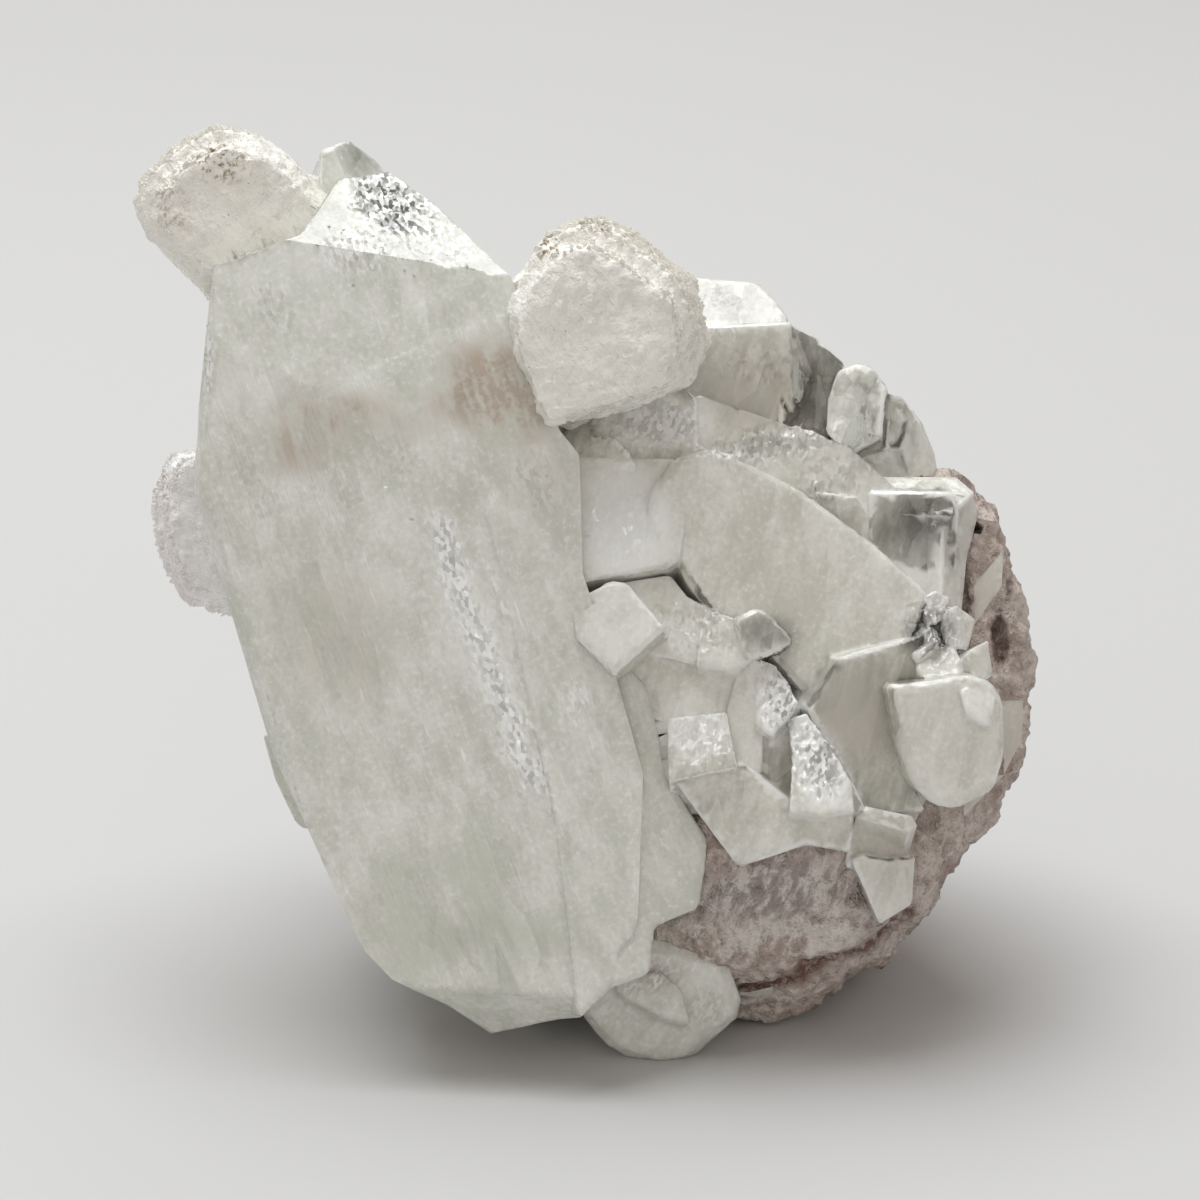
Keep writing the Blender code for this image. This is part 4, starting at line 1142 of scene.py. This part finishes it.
LOOKS = {
    "great": ClusterGreatLook, "group": ClusterGroupLook, "rock": ClusterRockLook,
    "sheaf": ClusterSheafLook, "stage": ClusterStageLook,
}


# Operators and the panel

class CLUSTER_OT_great_crystal(bpy.types.Operator):
    """Dress the great crystal"""
    bl_idname = "cluster.great_crystal"
    bl_label = "Great crystal"

    def execute(self, context):
        great_piece(context.scene.cluster_great)
        return {"FINISHED"}


class CLUSTER_OT_stepped_crystals(bpy.types.Operator):
    """Dress the stepped group of crystals"""
    bl_idname = "cluster.stepped_crystals"
    bl_label = "Stepped crystals"

    def execute(self, context):
        group_piece(context.scene.cluster_group)
        return {"FINISHED"}


class CLUSTER_OT_foot_crystal(bpy.types.Operator):
    """Dress the worn crystal that the front stands on"""
    bl_idname = "cluster.foot_crystal"
    bl_label = "Foot crystal"

    def execute(self, context):
        foot_piece(context.scene.cluster_great)
        return {"FINISHED"}


class CLUSTER_OT_matrix(bpy.types.Operator):
    """Dress the rock and the small crystals fused to it"""
    bl_idname = "cluster.matrix"
    bl_label = "Rock"

    def execute(self, context):
        rock_piece(context.scene.cluster_rock, context.scene.cluster_group)
        return {"FINISHED"}


class CLUSTER_OT_stilbite(bpy.types.Operator):
    """Grow the three stilbite sheaves"""
    bl_idname = "cluster.stilbite"
    bl_label = "Stilbite sheaves"

    def execute(self, context):
        look = context.scene.cluster_sheaf
        growth = blade_growth()
        cream = stilbite_finish("cream_stilbite", look, look.cream_shade, look.cream_tone)
        pink = stilbite_finish("pink_stilbite", look, look.pink_shade, look.pink_tone)
        sheaf_piece("stilbite_crown", look, growth, cream)
        sheaf_piece("stilbite_front", look, growth, cream)
        sheaf_piece("stilbite_back", look, growth, pink)
        return {"FINISHED"}


class CLUSTER_OT_stage(bpy.types.Operator):
    """Lay the floor, set the light and place the camera"""
    bl_idname = "cluster.stage"
    bl_label = "Stage"

    def execute(self, context):
        look = context.scene.cluster_stage
        lay_floor(look)
        set_light(context, look)
        place_camera(context)
        return {"FINISHED"}


def lay_floor(look):
    bm = bmesh.new()
    bmesh.ops.create_grid(bm, x_segments=1, y_segments=1, size=FLOOR_HALF)
    mesh = mesh_from(bm, "floor")
    finish = Finish("pale_floor")
    mesh.materials.append(finish.done(finish.principled(Base_Color=look.floor_tone, Roughness=0.7)))
    floor = bpy.data.objects.new("floor", mesh)
    bpy.context.scene.collection.objects.link(floor)


def soft_light(name, place, aim, size, power, colour):
    light = bpy.data.lights.new(name, "AREA")
    light.shape = "RECTANGLE"
    light.size, light.size_y = size
    light.energy = power
    light.color = colour
    made = bpy.data.objects.new(name, light)
    made.location = place
    made.rotation_mode = "QUATERNION"
    made.rotation_quaternion = (Vector(place) - Vector(aim)).to_track_quat("Z", "Y")
    bpy.context.scene.collection.objects.link(made)


def set_light(context, look):
    middle = (0.0, 0.0, 0.035)
    soft_light("overhead", (-0.11, 0.16, 0.70), middle, (0.66, 0.62), look.key_power, (0.95, 0.985, 1.0))
    soft_light("front", (0.10, -1.10, 0.45), middle, (1.20, 0.80), look.front_power, (1.0, 0.95, 0.90))
    world = bpy.data.worlds.new("studio")
    context.scene.world = world
    world.use_nodes = True
    tree = Tree(world.node_tree)
    way = tree.node("ShaderNodeTexCoord", output="Generated")
    split = tree.node("ShaderNodeSeparateXYZ", {}, {"Vector": way})
    height = tree.outputs(split, "Z") * 0.5 + 0.5
    sky = tree.node("ShaderNodeValToRGB", {"stops": [
        (0.0, (0.40, 0.39, 0.37, 1.0)), (0.48, (0.62, 0.58, 0.54, 1.0)), (0.60, (0.90, 0.84, 0.78, 1.0)),
        (1.0, (1.0, 0.95, 0.90, 1.0))]}, {"Fac": height})
    light = tree.node("ShaderNodeBackground", {}, {"Color": sky, "Strength": look.sky})
    tree.node("ShaderNodeOutputWorld", {}, {"Surface": light})


def place_camera(context):
    camera = bpy.data.cameras.new("camera")
    camera.sensor_width = CAMERA_SENSOR
    camera.lens = CAMERA_LENS
    camera.clip_start = 0.01
    camera.clip_end = 20.0
    made = bpy.data.objects.new("camera", camera)
    made.location = SIGHT @ Vector((0.0, -CAMERA_AWAY, CAMERA_UP))
    made.rotation_euler = (math.pi / 2 - LEAN, 0.0, 0.0)
    context.scene.collection.objects.link(made)
    context.scene.camera = made
    context.scene.view_settings.view_transform = "Standard"


PIECES = [
    CLUSTER_OT_great_crystal, CLUSTER_OT_stepped_crystals, CLUSTER_OT_foot_crystal, CLUSTER_OT_matrix,
    CLUSTER_OT_stilbite, CLUSTER_OT_stage,
]


class CLUSTER_PT_panel(bpy.types.Panel):
    """The pieces of the specimen, in the order that they are made"""
    bl_idname = "CLUSTER_PT_panel"
    bl_label = "Apophyllite cluster"
    bl_space_type = "VIEW_3D"
    bl_region_type = "UI"
    bl_category = "Cluster"

    def draw(self, context):
        for piece in PIECES:
            self.layout.operator(piece.bl_idname)
        for key, look in LOOKS.items():
            box = self.layout.box()
            settings = getattr(context.scene, "cluster_" + key)
            for title in look.__annotations__:
                box.prop(settings, title)


def register():
    for made in [*LOOKS.values(), *PIECES, CLUSTER_PT_panel]:
        bpy.utils.register_class(made)
    for key, look in LOOKS.items():
        setattr(bpy.types.Scene, "cluster_" + key, PointerProperty(type=look))


def unregister():
    for key in LOOKS:
        delattr(bpy.types.Scene, "cluster_" + key)
    for made in reversed([*LOOKS.values(), *PIECES, CLUSTER_PT_panel]):
        bpy.utils.unregister_class(made)


def main():
    register()
    bpy.ops.cluster.stage()
    bpy.ops.cluster.great_crystal()
    bpy.ops.cluster.stepped_crystals()
    bpy.ops.cluster.foot_crystal()
    bpy.ops.cluster.matrix()
    bpy.ops.cluster.stilbite()


if __name__ == "__main__":
    main()
